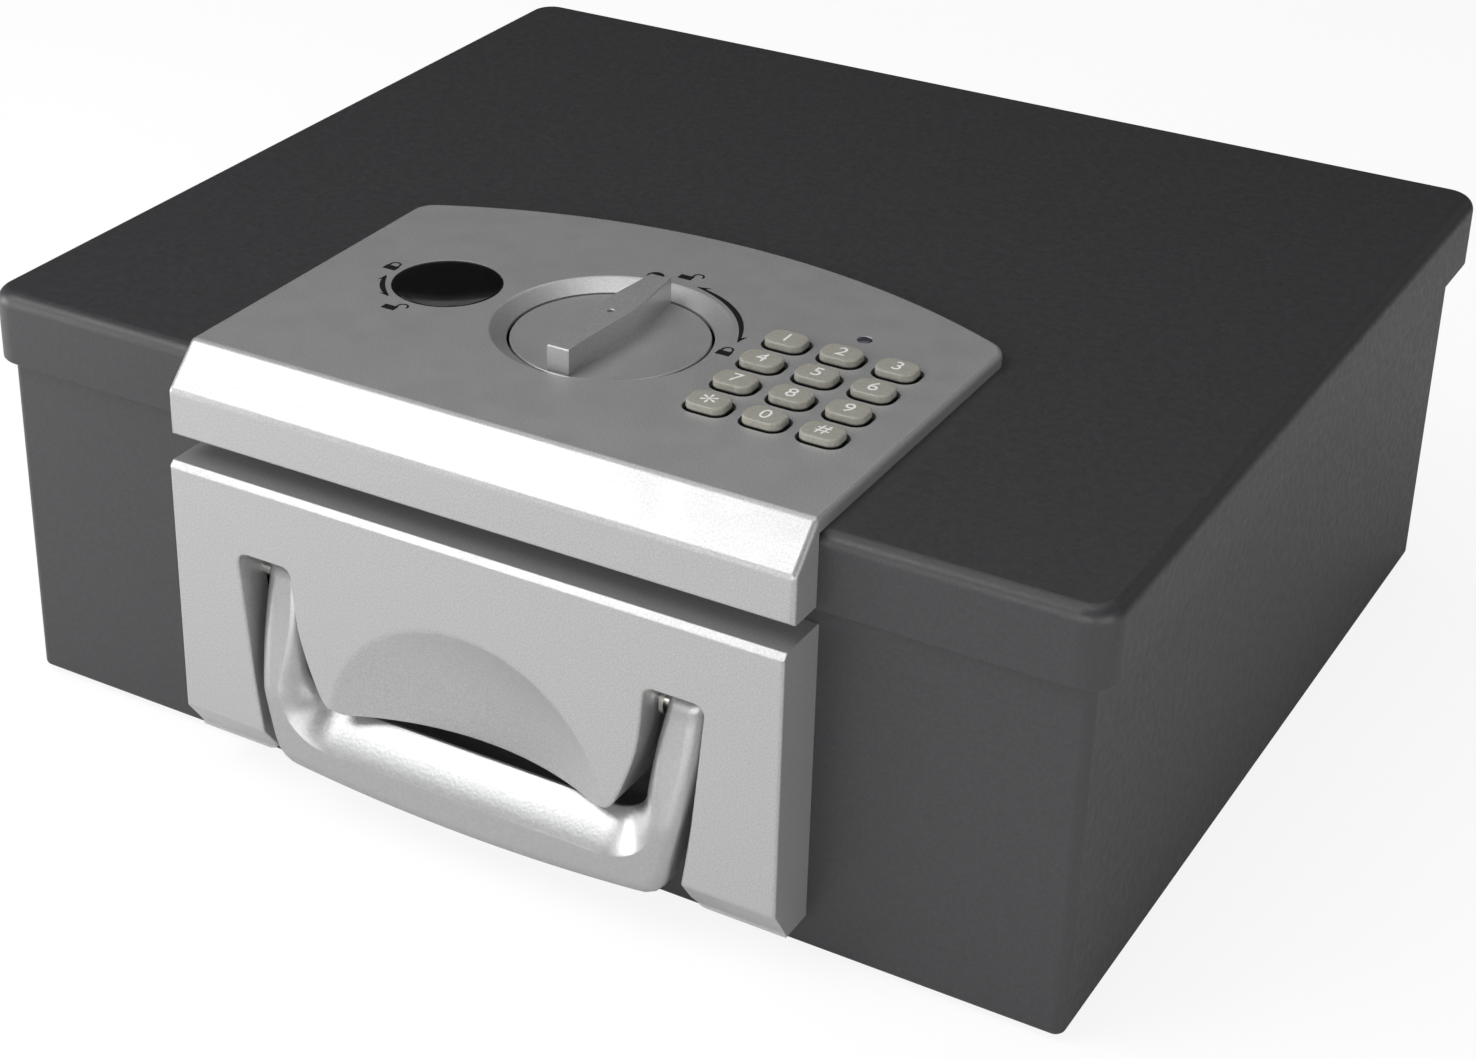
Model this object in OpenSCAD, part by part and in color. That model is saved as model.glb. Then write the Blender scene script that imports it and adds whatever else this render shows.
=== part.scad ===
// Lockable document box. A steel body with an overlapping steel lid, a plastic lock panel on the lid
// with a knob, a key cover and a keypad, and a fold-out carrying handle on the front.
// Millimetres, +Z up, front towards -Y. Heights of the front fittings count from the body's underside.

/* [Body and lid] */
// Width of the lid over its skirt
lid_w = 340; // [320:1:400]
// Depth of the lid over its skirt
lid_d = 295; // [275:1:340]
// Height from the body's underside to the lid's top
box_h = 125; // [118:1:160]
// Sheet steel of body and lid
steel_t = 1.2; // [0.8:0.1:2]
// Height of the lid's skirt
lid_skirt = 21.5; // [18:0.5:23]
// Corner radius of the lid, seen from above
lid_r = 9; // [6:0.5:14]
// Radius of the lid's top edge
lid_edge_r = 4; // [2:0.5:6]
// Corner radius of the body, seen from above
body_r = 3; // [2:0.5:6]
// Gap between body and skirt at the sides
side_gap = 3.3; // [1:0.1:5]
// Gap between body and skirt at the front
front_gap = 2.8; // [2:0.1:5]
// Gap between body and skirt at the back, where the hinge leaves go
back_gap = 5; // [4.4:0.1:8]
// Width of the rim that is folded inwards along the body's top
rim_w = 12; // [8:0.5:16]
// Gap between that rim and the lid's underside
rim_gap = 0.5; // [0.2:0.1:1.5]
// Distance between the two floor fixing holes
fixing_span = 200; // [120:5:240]
// Radius of a floor fixing hole
fixing_r = 4; // [2.5:0.5:6]

/* [Floor mat and feet] */
// Thickness of the felt mat
mat_t = 2; // [1:0.5:4]
// Gap between mat and walls
mat_gap = 1; // [0.5:0.5:3]
// Height of a rubber foot
foot_h = 2; // [1:0.5:5]
// Radius of a rubber foot
foot_r = 8; // [5:0.5:12]
// Distance of a foot's centre from the body's sides
foot_inset = 24; // [15:1:40]

/* [Hinges] */
// Length of one hinge
hinge_len = 50; // [36:1:80]
// Distance of a hinge's centre from the middle of the box
hinge_x = 105; // [60:1:120]
// Outer radius of the knuckles
knuckle_r = 2.8; // [2.4:0.1:3]
// Radius of the hinge pin
hinge_pin_r = 1.4; // [1:0.1:1.6]
// Thickness of a hinge leaf
leaf_t = 1.2; // [0.8:0.1:1.4]
// Height of a hinge leaf
leaf_h = 17; // [10:1:19]

/* [Lock panel] */
// Width of the panel
panel_w = 190; // [182:1:230]
// Distance from the lid's front to the crown of the panel's arched back
panel_d = 132.5; // [126:0.5:150]
// Radius of the arched back
arch_r = 202; // [160:1:400]
// Height of the panel over the lid
panel_rise = 4; // [3.5:0.5:8]
// Wall of the panel
panel_wall = 2.5; // [1.5:0.5:3.5]
// Bevel round the panel's top
panel_bevel = 2; // [0.5:0.5:3]
// How far the nose stands out over the lid's front
nose_out = 11.5; // [7:0.5:16]
// Depth and height of the nose's sloping face
nose_slope = 11; // [6:0.5:14]
// How far the nose ends over the skirt's lower edge
nose_lift = 1; // [0:0.5:4]

/* [Knob] */
// Knob axis from the middle of the box
knob_x = -2.5; // [-4:0.5:3]
// Knob and key axes from the lid's front
lock_row = 65; // [62:0.5:70]
// Radius of the dish round the knob
dish_r = 33; // [31:0.5:36]
// Depth of the dish
dish_depth = 3; // [2:0.5:3.5]
// Radius of the knob's disc
knob_r = 28; // [24:0.5:29]
// Thickness of the disc
knob_t = 4; // [3:0.5:4.5]
// Length of the grip bar
bar_len = 54; // [36:1:54]
// Width of the bar at its narrow front end
bar_front_w = 6.2; // [5:0.1:10]
// Width of the grip bar in the middle
bar_mid_w = 11.2; // [6:0.1:12]
// Width of the grip bar at the end that points
bar_back_w = 6.4; // [5:0.1:12]
// Height of the bar over the disc
bar_h = 7.7; // [4:0.1:9]
// Radius of the dimple in the bar's top
dimple_r = 0.9; // [0.5:0.1:1.5]
// Radius of the knob's spindle
spindle_r = 3; // [2.5:0.5:4]

/* [Key lock and cover] */
// Distance of the key axis from the middle of the box
key_lock_x = -56; // [-60:0.5:-54]
// Radius of the round cover over the key lock
cover_r = 15.4; // [13:0.1:17]
// Depth of the cover's seat
cover_seat = 3; // [2:0.5:3]
// How far the cover's crown stands over the panel
cover_rise = 1.1; // [0.5:0.1:3]
// Outer radius of the lock's sleeve
sleeve_r = 9.5; // [8:0.5:10.5]
// Radius of the turning plug
plug_r = 6; // [5:0.5:6.5]
// Length of the plug's cam
cam_len = 20; // [14:1:22]

/* [Keypad] */
// Middle column from the middle of the box
keypad_x = 60; // [58:0.5:64]
// Upper row from the lid's front
keypad_row = 80; // [76:0.5:84]
// Distance between columns
key_pitch_x = 16.4; // [14:0.1:17]
// Distance between rows
key_pitch_y = 14.2; // [12:0.1:15]
// Width of a key
key_w = 11.4; // [9:0.1:12]
// Depth of a key
key_d = 8.8; // [7:0.1:9.6]
// Corner radius of a key
key_round = 3.2; // [2:0.1:4.2]
// Gap between a key and its hole
key_gap = 0.8; // [0.4:0.1:0.9]
// Height of a key over the panel
key_rise = 2.1; // [1:0.1:3]
// Travel of a key
key_travel = 1; // [0.5:0.1:1.5]
// Radius of the signal lamp
lamp_r = 2; // [1.5:0.1:3]
// Lamp from the upper row of keys
lamp_row = 13.7; // [11:0.1:16]
// Thickness of the circuit board
board_t = 1.6; // [1:0.2:2.4]

/* [Lock works] */
// Clearance between the circuit board and the inner case's walls
board_side = 1.1; // [0.6:0.1:3]
// Depth of the inner case
case_d = 98; // [94:1:110]
// Height of the inner case
case_h = 30; // [29:1:34]
// Wall of the inner case
case_t = 1.8; // [1:0.2:2.4]
// Gap between the inner case and the body's rim
case_gap = 5; // [4:0.5:8]
// Travel of the bolt
bolt_travel = 13; // [10:0.5:13]
// Width of the bolt
bolt_w = 40; // [38:1:42]
// Thickness of the bolt
bolt_t = 3.5; // [2.5:0.5:4]
// Gap between bolt and rim
bolt_gap = 0.7; // [0.3:0.1:1.5]
// How far the bolt looks out of the case when drawn back
bolt_show = 1.5; // [0.5:0.5:2]
// Radius of the crank pin
crank_pin_r = 1.5; // [1.2:0.1:1.6]
// Radius of the crank disc
crank_r = 13; // [12.5:0.5:13.5]
// Thickness of the crank disc
crank_t = 3.2; // [2:0.2:3.6]
// Thickness of the chassis that carries the lock works
chassis_t = 2; // [1.5:0.5:3]
// Chassis in front of the knob's axis
chassis_fore = 30; // [28:1:34]
// Chassis behind the knob's axis
chassis_aft = 36; // [34:1:40]
// Bolt behind the knob's axis when it is out
bolt_tail = 14; // [10:1:18]
// Height of the key lock's lower end over the case's floor
sleeve_lift = 6; // [4:0.5:8]
// Radius of the solenoid's plunger
plunger_r = 1.5; // [1:0.1:1.6]

/* [Batteries] */
// Radius of an AA cell
cell_r = 7.15; // [7:0.05:7.25]
// Length of an AA cell
cell_len = 50; // [49:0.5:50.5]
// Distance from the battery bay to the case's side
bay_margin = 13.5; // [13:0.5:18]
// Thickness of the battery cover
cell_cover_t = 2; // [1.5:0.5:3]

/* [Handle plate] */
// Width of the plate
plate_w = 188; // [180:1:230]
// Height of the plate's lower end
plate_low = 9.5; // [6:0.5:12]
// Height of the plate's upper end
plate_top = 97.5; // [92:0.5:100]
// Thickness of the plate
plate_out = 18; // [17:0.5:22]
// Plate screws from the plate's sides
screw_in = 10; // [8:0.5:12]
// Lower plate screws from the plate's lower end
screw_up = 18; // [16:0.5:22]
// Upper plate screws from the plate's upper end
screw_down = 9; // [7:0.5:11]
// Wall of the plate
plate_wall = 2.5; // [1.5:0.5:3.5]
// Height of the sloping face along the plate's lower end
plate_slope_h = 10.5; // [6:0.5:14]
// Depth of that sloping face
plate_slope_d = 7; // [4:0.5:9]
// Slot centre from the middle of the plate
slot_x = 63.5; // [62:0.5:68]
// Width of a slot at its upper end
slot_w = 17.5; // [17:0.5:20]
// Height of a slot's upper end
slot_top = 75.5; // [75:0.5:78]
// How far a slot's outer edge leans inwards on its way down
slot_lean = 5.5; // [2:0.1:6]
// Height of the tongue's lower edge
tongue_low = 33.6; // [33.4:0.1:36]
// Half width of the tongue at its lower edge
tongue_tip = 42; // [38:0.5:43]
// How far the tongue's side has drawn in at its knee, near the lower edge
knee_in = 8; // [6:0.5:10]
// Height of the knee over the tongue's lower edge
knee_up = 4.6; // [3:0.2:6]
// Height at which the tongue's side starts to draw in
draw_z = 55; // [50:1:60]
// Height of the middle of the slot's outer side
lean_z = 40; // [36:1:46]
// How far the slot is wider there than at its lower end, on one side
lean_mid = 2.6; // [1.6:0.1:3]
// Radius of the finger scoop on the tongue's face
scoop_r = 44; // [38:0.5:45]
// Depth of the finger scoop
scoop_depth = 11.5; // [8:0.5:13]
// Height of the scoop's centre
scoop_z = 28; // [24:0.5:30]

/* [Handle] */
// Height of the pivot
pivot_z = 66; // [65:0.5:67]
// Pivot from the plate's face
pivot_in = 12; // [11:0.5:12.5]
// Radius of the pivot pin
pivot_r = 2.5; // [2:0.1:3]
// Gap between an arm and the slot's outer edge
arm_gap = 3.8; // [3:0.1:4.5]
// Width of an arm at the pivot
arm_w = 11; // [9:0.5:12]
// Degrees by which an arm's inner side leans outwards on its way up
arm_lean = 8; // [4:1:9]
// Radius of an arm's curved outer side
side_r = 155; // [140:5:300]
// Height at which that side starts to curve inwards
side_top = 62; // [50:1:66]
// Gap between an arm's round end and the body's front wall
arm_back_gap = 0.3; // [0.3:0.1:1]
// Height of the grip's lower side in the middle
grip_low = 10; // [4:0.5:12]
// Height of the grip's upper side
grip_top = 31.5; // [28:0.5:31.5]
// How far the grip stands out over the plate's face
grip_proud = 2; // [0:0.5:6]
// Depth of the grip
grip_d = 12; // [10:0.5:12]
// Radius of the inner corner between arm and grip
inner_r = 12; // [8:0.5:13]
// Radius of the outer corner
outer_r = 8; // [5:0.5:12]
// Radius of the grip's bowed lower side
bow_r = 520; // [250:2:900]

/* [Fits] */
// Gap of a shaft in its bearing, on the radius
run_fit = 0.05; // [0.02:0.01:0.1]
// Gap between pieces that move past each other
slide_gap = 0.3; // [0.2:0.05:0.5]

/* [Hidden] */
$fn = 64;

// Colours as the box shows them
CHARCOAL = "#444446";
SILVER = "#b9b9b8";
STEEL = "#9a9da0";
BLACK = "#1b1b1c";
KEY_GREY = "#a3a294";

// Main levels and faces
lid_top = foot_h + box_h;
lid_under = lid_top - steel_t;
skirt_low = lid_top - lid_skirt;
rim_top = lid_under - rim_gap;
floor_top = foot_h + steel_t;
panel_top = lid_top + panel_rise;
total_d = lid_d - front_gap - steel_t + plate_out + grip_proud;
lid_back = total_d / 2;
lid_front = lid_back - lid_d;
body_front = lid_front + steel_t + front_gap;
body_back = lid_back - steel_t - back_gap;
body_w = lid_w - 2 * (steel_t + side_gap);
plate_front = body_front - plate_out;
CUT = 1;

// Hinge axis, just behind the body and under the lid's skirt
hinge_y = body_back + knuckle_r + slide_gap;
hinge_z = skirt_low - knuckle_r - 0.4;

// Lock works under the lid
lock_y = lid_front + lock_row;
case_front = body_front + rim_w + case_gap;
case_low = lid_under - case_h;
bolt_top = rim_top - steel_t - bolt_gap;
bolt_low = bolt_top - bolt_t;
bolt_front = case_front - bolt_show;
bolt_back = lock_y + bolt_travel + bolt_tail;
crank_arm = bolt_travel / sqrt(2);
crank_top = bolt_low - 0.4;
chassis_top = crank_top - crank_t - 0.4;
chassis_low = chassis_top - chassis_t;
chassis_y0 = lock_y - chassis_fore;
chassis_y1 = lock_y + chassis_aft;
chassis_x0 = key_lock_x - sleeve_r - 6;
chassis_x1 = knob_x + bolt_w / 2 + 12;
rail_w = 5;

// Keypad window in the lid, the board under it, and the battery bay
lamp_y = lid_front + keypad_row + lamp_row;
window_w = 2 * key_pitch_x + key_w + 2 * key_gap + 1;
window_y0 = lid_front + keypad_row - 3 * key_pitch_y - key_d / 2 - key_gap - 0.5;
window_y1 = lamp_y + lamp_r + 0.5;
board_w = window_w + 5.4;
board_y0 = window_y0 - 0.7;
board_y1 = window_y1 + 4.5;
cell_pitch = 2 * cell_r + 0.6;
case_w = 2 * (keypad_x + board_w / 2 + board_side + case_t);
bay_x1 = case_w / 2 - bay_margin;
bay_x0 = bay_x1 - 4 * cell_pitch;
bay_end_t = 2;
bay_y0 = case_front + case_t + bay_end_t;
bay_y1 = bay_y0 + cell_len + 2 * slide_gap;
cell_z = case_low + case_t + cell_r + slide_gap;
battery_cover_over = 3;

// Handle
pivot_y = plate_front + pivot_in;
arm_out = slot_x + slot_w / 2 - arm_gap;
arm_end_r = body_front - pivot_y - arm_back_gap;
slot_in = slot_x - slot_w / 2;
slot_out = slot_x + slot_w / 2;
fix_z = [plate_low + screw_up, plate_top - screw_down];
fix_x = plate_w / 2 - screw_in;
screw_r = 1.75;
screw_head_r = 4;

// Sign of corner i along X and along Y
function side_x(i) = i % 2 == 0 ? -1 : 1;
function side_y(i) = i < 2 ? -1 : 1;
// Points on an arc round c from angle a to angle b
function arc(c, r, a, b, n = 16) = [for (i = [0:n]) let (t = a + (b - a) * i / n) c + r * [cos(t), sin(t)]];
// The same points on the other side of the middle, in reverse order
function mirrored(p) = [for (i = [len(p) - 1:-1:0]) [-p[i][0], p[i][1]]];

// A rectangle with round corners, centred on X, from y0 to y1
module rounded(w, y0, y1, r) {
    d = y1 - y0;
    translate([-w / 2 + r, y0]) square([w - 2 * r, d]);
    translate([-w / 2, y0 + r]) square([w, d - 2 * r]);
    for (i = [0:3])
        translate([side_x(i) * (w / 2 - r), (y0 + y1) / 2 + side_y(i) * (d / 2 - r)]) circle(r);
}

// A rounded rectangle with height
module rounded_block(w, y0, y1, z0, z1, r) {
    translate([0, 0, z0]) linear_extrude(z1 - z0) rounded(w, y0, y1, r);
}

// A plain block from corner a to corner b
module block(a, b) {
    translate(a) cube(b - a);
}

// Extrudes an outline of Y and Z along X, centred
module along_x(w) {
    rotate([90, 0, 90]) linear_extrude(w, center = true) children();
}

// Extrudes an outline of X and Z from y0 to y1
module along_y(y0, y1) {
    translate([0, y1, 0]) rotate([90, 0, 0]) linear_extrude(y1 - y0) children();
}

// A cylinder from z0 to z1
module rod(x, y, z0, z1, r) {
    translate([x, y, z0]) cylinder(r = r, h = z1 - z0);
}

// A cylinder along X from x0 to x1
module cross_rod(x0, x1, y, z, r) {
    translate([x0, y, z]) rotate([0, 90, 0]) cylinder(r = r, h = x1 - x0);
}

// Body: a tray with a rim folded inwards
module body_shell() {
    color(CHARCOAL) difference() {
        rounded_block(body_w, body_front, body_back, foot_h, rim_top, body_r);
        rounded_block(body_w - 2 * steel_t, body_front + steel_t, body_back - steel_t,
            floor_top, rim_top - steel_t, body_r - steel_t);
        rounded_block(body_w - 2 * rim_w, body_front + rim_w, body_back - rim_w,
            rim_top - steel_t - CUT, rim_top + CUT, body_r);
        for (s = [-1, 1])
            rod(s * fixing_span / 2, (body_front + body_back) / 2, foot_h - CUT, floor_top + CUT, fixing_r);
        for (i = [0:3])
            translate([side_x(i) * fix_x, body_front - CUT, foot_h + fix_z[i < 2 ? 0 : 1]])
                rotate([-90, 0, 0]) cylinder(r = screw_r, h = steel_t + 2 * CUT);
    }
}

// Felt mat with room for the fixing bolts' heads
module floor_mat() {
    edge = steel_t + mat_gap;
    color("#2b2b2e") difference() {
        rounded_block(body_w - 2 * edge, body_front + edge, body_back - edge, floor_top,
            floor_top + mat_t, body_r);
        for (s = [-1, 1])
            rod(s * fixing_span / 2, (body_front + body_back) / 2, floor_top - CUT,
                floor_top + mat_t + CUT, 2.5 * fixing_r);
    }
}

module foot(i) {
    x = side_x(i) * (body_w / 2 - foot_inset);
    y = (body_front + body_back) / 2 + side_y(i) * ((body_back - body_front) / 2 - foot_inset);
    color(BLACK) rod(x, y, 0, foot_h, foot_r);
}

// Hinges: the body's leaf has the middle knuckle, the lid's leaf has the two outer ones
knuckle_len = hinge_len / 3;

module knuckle(x0, x1) {
    cross_rod(x0 + slide_gap / 2, x1 - slide_gap / 2, hinge_y, hinge_z, knuckle_r);
}

module pin_bore(s) {
    cross_rod(s * hinge_x - hinge_len, s * hinge_x + hinge_len, hinge_y, hinge_z, hinge_pin_r + run_fit);
}

module body_leaf(s) {
    x = s * hinge_x;
    half = knuckle_len / 2;
    clear = knuckle_r + 0.5;
    color(CHARCOAL) difference() {
        union() {
            knuckle(x - half, x + half);
            block([x - half + slide_gap / 2, body_back, hinge_z - clear],
                [x + half - slide_gap / 2, body_back + leaf_t, hinge_z]);
            block([x - hinge_len / 2, body_back, hinge_z - leaf_h],
                [x + hinge_len / 2, body_back + leaf_t, hinge_z - clear]);
        }
        pin_bore(s);
    }
}

module lid_leaf(s) {
    x = s * hinge_x;
    half = hinge_len / 2;
    clear = knuckle_r + 0.4;
    skirt_in = lid_back - steel_t;
    color(CHARCOAL) difference() {
        union() {
            for (a = [x - half, x + half - knuckle_len]) {
                knuckle(a, a + knuckle_len);
                block([a + slide_gap / 2, skirt_in - leaf_t, hinge_z],
                    [a + knuckle_len - slide_gap / 2, skirt_in, hinge_z + clear]);
            }
            block([x - half, skirt_in - leaf_t, hinge_z + clear],
                [x + half, skirt_in, hinge_z + leaf_h]);
        }
        pin_bore(s);
    }
}

module hinge_pin(s) {
    x = s * hinge_x;
    color(STEEL) cross_rod(x - hinge_len / 2, x + hinge_len / 2, hinge_y, hinge_z, hinge_pin_r);
}

// Lid: a drawn cap whose top edge is rounded in steps
module lid_form(w, y0, y1, z0, z1, r, edge) {
    steps = 6;
    layer = 0.05;
    hull() {
        rounded_block(w, y0, y1, z0, z1 - edge, r);
        for (i = [1:steps]) {
            drop = edge * (1 - cos(90 * i / steps));
            z = z1 - edge + edge * sin(90 * i / steps);
            rounded_block(w - 2 * drop, y0 + drop, y1 - drop, z - layer, z, r - drop);
        }
    }
}

module lid_shell() {
    color(CHARCOAL) difference() {
        lid_form(lid_w, lid_front, lid_back, skirt_low, lid_top, lid_r, lid_edge_r);
        lid_form(lid_w - 2 * steel_t, lid_front + steel_t, lid_back - steel_t, skirt_low - CUT,
            lid_under, lid_r - steel_t, lid_edge_r - steel_t);
        rod(knob_x, lock_y, lid_under - CUT, lid_top + CUT, knob_r + 2);
        rod(key_lock_x, lock_y, lid_under - CUT, lid_top + CUT, sleeve_r + 0.5);
        block([keypad_x - window_w / 2, window_y0, lid_under - CUT],
            [keypad_x + window_w / 2, window_y1, lid_top + CUT]);
    }
}

// Lock panel: an arched cover whose nose hangs over the lid's front
module panel_outline(inset) {
    crown = lid_front + panel_d;
    corner = 8;
    offset(r = corner - inset) offset(delta = -corner) intersection() {
        translate([-panel_w / 2, lid_front - 2 * nose_out]) square([panel_w, panel_d + 2 * nose_out]);
        translate([0, crown - arch_r]) circle(arch_r, $fn = 240);
    }
}

module lock_panel() {
    nose = lid_front - nose_out;
    nose_low = skirt_low + nose_lift;
    slope_low = panel_top - nose_slope;
    back = lid_front + panel_d + CUT;
    color(SILVER) difference() {
        intersection() {
            hull() {
                translate([0, 0, nose_low]) linear_extrude(panel_top - panel_bevel - nose_low) panel_outline(0);
                translate([0, 0, panel_top - 0.01]) linear_extrude(0.01) panel_outline(panel_bevel);
            }
            along_x(panel_w + CUT) polygon([
                [nose, nose_low], [lid_front, nose_low], [lid_front, lid_top], [back, lid_top],
                [back, panel_top], [nose + nose_slope, panel_top], [nose, slope_low]
            ]);
        }
        along_x(panel_w - 2 * panel_wall) polygon([
            [nose + panel_wall, nose_low + panel_wall], [lid_front, nose_low + panel_wall],
            [lid_front, lid_top], [nose + nose_slope, lid_top],
            [nose + panel_wall, slope_low - panel_wall / 2]
        ]);
        panel_openings();
    }
}

module panel_openings() {
    bore_r = knob_r + slide_gap;
    translate([knob_x, lock_y, panel_top - dish_depth])
        cylinder(r1 = bore_r, r2 = dish_r, h = dish_depth, $fn = 96);
    rod(knob_x, lock_y, lid_top - CUT, panel_top + CUT, bore_r);
    rod(knob_x, lock_y, panel_top, panel_top + CUT, dish_r);
    rod(key_lock_x, lock_y, panel_top - cover_seat, panel_top + CUT, cover_r + slide_gap);
    rod(key_lock_x, lock_y, lid_top - CUT, panel_top, sleeve_r + 0.1);
    for (i = [0:11])
        key_form(i, key_gap, lid_top - CUT, panel_top + CUT);
    rod(keypad_x, lamp_y, lid_top - CUT, panel_top + CUT, lamp_r);
}

// Knob: a disc with a pointing grip bar and the spindle under it
knob_top = panel_top - dish_depth;

module knob() {
    half = bar_len / 2;
    color(SILVER) difference() {
        union() {
            rod(knob_x, lock_y, knob_top - knob_t, knob_top, knob_r);
            intersection() {
                rod(knob_x, lock_y, knob_top - CUT, knob_top + bar_h, knob_r - 0.5);
                translate([knob_x, lock_y, knob_top - CUT]) linear_extrude(bar_h + CUT) polygon([
                    [-bar_front_w / 2, -half], [bar_front_w / 2, -half], [bar_front_w / 2, -half / 2],
                    [bar_mid_w / 2, 0], [bar_mid_w / 2, half / 4], [bar_back_w / 2, half],
                    [-bar_back_w / 2, half], [-bar_mid_w / 2, half / 4], [-bar_mid_w / 2, 0],
                    [-bar_front_w / 2, -half / 2]
                ]);
            }
            rod(knob_x, lock_y, chassis_low - 2, knob_top - knob_t, spindle_r);
        }
        rod(knob_x, lock_y, knob_top + bar_h - 1, knob_top + bar_h + CUT, dimple_r);
    }
}

// Crank: a disc on the spindle whose pin drives the bolt. Its notch takes the plunger when the bolt is out
module crank() {
    notch = plunger_r + slide_gap;
    color(STEEL) difference() {
        union() {
            rod(knob_x, lock_y, crank_top - crank_t, crank_top, crank_r);
            rod(knob_x + crank_arm * cos(45), lock_y + crank_arm * sin(45), crank_top, bolt_top - 0.3,
                crank_pin_r);
        }
        rod(knob_x, lock_y, crank_top - crank_t - CUT, crank_top + CUT, spindle_r);
        block([knob_x - notch, lock_y - crank_r - CUT, crank_top - crank_t - CUT],
            [knob_x + notch, lock_y - crank_r + plunger_travel + slide_gap, crank_top + CUT]);
    }
}

// Bolt: slides forwards under the body's rim
module bolt() {
    room = spindle_r + 0.4;
    pin_room = crank_pin_r + 0.5;
    pin_y = lock_y + crank_arm * sin(45);
    pin_x0 = knob_x + crank_arm * cos(45);
    pin_x1 = knob_x + crank_arm;
    color(STEEL) difference() {
        block([knob_x - bolt_w / 2, bolt_front, bolt_low], [knob_x + bolt_w / 2, bolt_back, bolt_top]);
        for (y = [lock_y, lock_y + bolt_travel]) rod(knob_x, y, bolt_low - CUT, bolt_top + CUT, room);
        block([knob_x - room, lock_y, bolt_low - CUT], [knob_x + room, lock_y + bolt_travel, bolt_top + CUT]);
        for (x = [pin_x0, pin_x1]) rod(x, pin_y, bolt_low - CUT, bolt_top + CUT, pin_room);
        block([pin_x0, pin_y - pin_room, bolt_low - CUT], [pin_x1, pin_y + pin_room, bolt_top + CUT]);
    }
}

// Round cover that is pulled off to reach the key lock
module key_cover() {
    seat = panel_top - cover_seat;
    color(BLACK) translate([key_lock_x, lock_y, 0]) rotate_extrude() polygon([
        [0, seat], [cover_r, seat], [cover_r, panel_top - 0.2],
        [cover_r - 2.4, panel_top + cover_rise], [0, panel_top + cover_rise]
    ]);
}

sleeve_top = panel_top - cover_seat - slide_gap;
sleeve_low = case_low + case_t + sleeve_lift;

module lock_sleeve() {
    color(STEEL) difference() {
        rod(key_lock_x, lock_y, sleeve_low, sleeve_top, sleeve_r);
        rod(key_lock_x, lock_y, sleeve_low - CUT, sleeve_top + CUT, plug_r + run_fit);
    }
}

// Turning plug with its keyway, and the cam at its lower end
module lock_plug() {
    cam_t = 2;
    cam_top = sleeve_low - slide_gap;
    color("#c7a85a") difference() {
        union() {
            rod(key_lock_x, lock_y, cam_top, sleeve_top, plug_r);
            rod(key_lock_x, lock_y, cam_top - cam_t, cam_top, plug_r);
            block([key_lock_x - 4, lock_y - cam_len, cam_top - cam_t], [key_lock_x + 4, lock_y, cam_top]);
        }
        block([key_lock_x - 4, lock_y - 0.7, sleeve_top - 12],
            [key_lock_x + 4, lock_y + 0.7, sleeve_top + CUT]);
    }
}

// Keys 0 to 11 run left to right and back to front
module key_form(i, grow, z0, z1) {
    x = keypad_x + (i % 3 - 1) * key_pitch_x;
    y = lid_front + keypad_row - floor(i / 3) * key_pitch_y;
    half_w = key_w / 2 + grow;
    half_d = key_d / 2 + grow;
    r = key_round + grow;
    for (s = [-1, 1], t = [-1, 1]) rod(x + s * (half_w - r), y + t * (half_d - r), z0, z1, r);
    block([x - half_w + r, y - half_d, z0], [x + half_w - r, y + half_d, z1]);
    block([x - half_w, y - half_d + r, z0], [x + half_w, y + half_d - r, z1]);
}

module key_cap(i) {
    color(KEY_GREY) key_form(i, 0, lid_under + key_travel + 0.2, panel_top + key_rise);
}

module lamp() {
    color("#33333a") rod(keypad_x, lamp_y, lid_under, panel_top + 0.2, lamp_r);
}

module keypad_board() {
    color("#2f6b3f") block([keypad_x - board_w / 2, board_y0, lid_under - board_t],
        [keypad_x + board_w / 2, board_y1, lid_under]);
}

// Chassis: a plate on four posts, with two rails that carry the bolt
module lock_chassis() {
    post = 4;
    color(STEEL) difference() {
        union() {
            block([chassis_x0, chassis_y0, chassis_low], [chassis_x1, chassis_y1, chassis_top]);
            for (s = [-1, 1]) {
                x = knob_x + s * (bolt_w / 2 - rail_w / 2);
                block([x - rail_w / 2, chassis_y0, chassis_top], [x + rail_w / 2, chassis_y1, bolt_low]);
            }
            for (x = [chassis_x0 + post, chassis_x1 - post], y = [chassis_y0 + post, chassis_y1 - post])
                rod(x, y, chassis_top, lid_under, post - 1);
        }
        rod(knob_x, lock_y, chassis_low - CUT, chassis_top + CUT, spindle_r + run_fit);
        rod(key_lock_x, lock_y, chassis_low - CUT, chassis_top + CUT, sleeve_r + run_fit);
        cross_rod(knob_x - bolt_w / 2 - CUT, knob_x - bolt_w / 2 + rail_w + CUT, lock_y, plunger_z,
            plunger_r + run_fit);
    }
}

// Solenoid beside the crank, and the plunger that stops the crank
solenoid_len = 18;
solenoid_x1 = knob_x - bolt_w / 2 - 3;
solenoid_x0 = solenoid_x1 - solenoid_len;
plunger_z = (chassis_top + bolt_low) / 2;
plunger_travel = 3;
plunger_end = solenoid_x0 + 2 + plunger_travel + slide_gap;

module solenoid() {
    color("#6a5a3c") difference() {
        block([solenoid_x0, lock_y - 8, chassis_top], [solenoid_x1, lock_y + 8, bolt_top]);
        cross_rod(solenoid_x0 + 2, solenoid_x1 + CUT, lock_y, plunger_z, plunger_r + run_fit);
    }
}

module plunger() {
    tip = knob_x - crank_r - slide_gap;
    color(STEEL) cross_rod(plunger_end, tip, lock_y, plunger_z, plunger_r);
}

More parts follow.
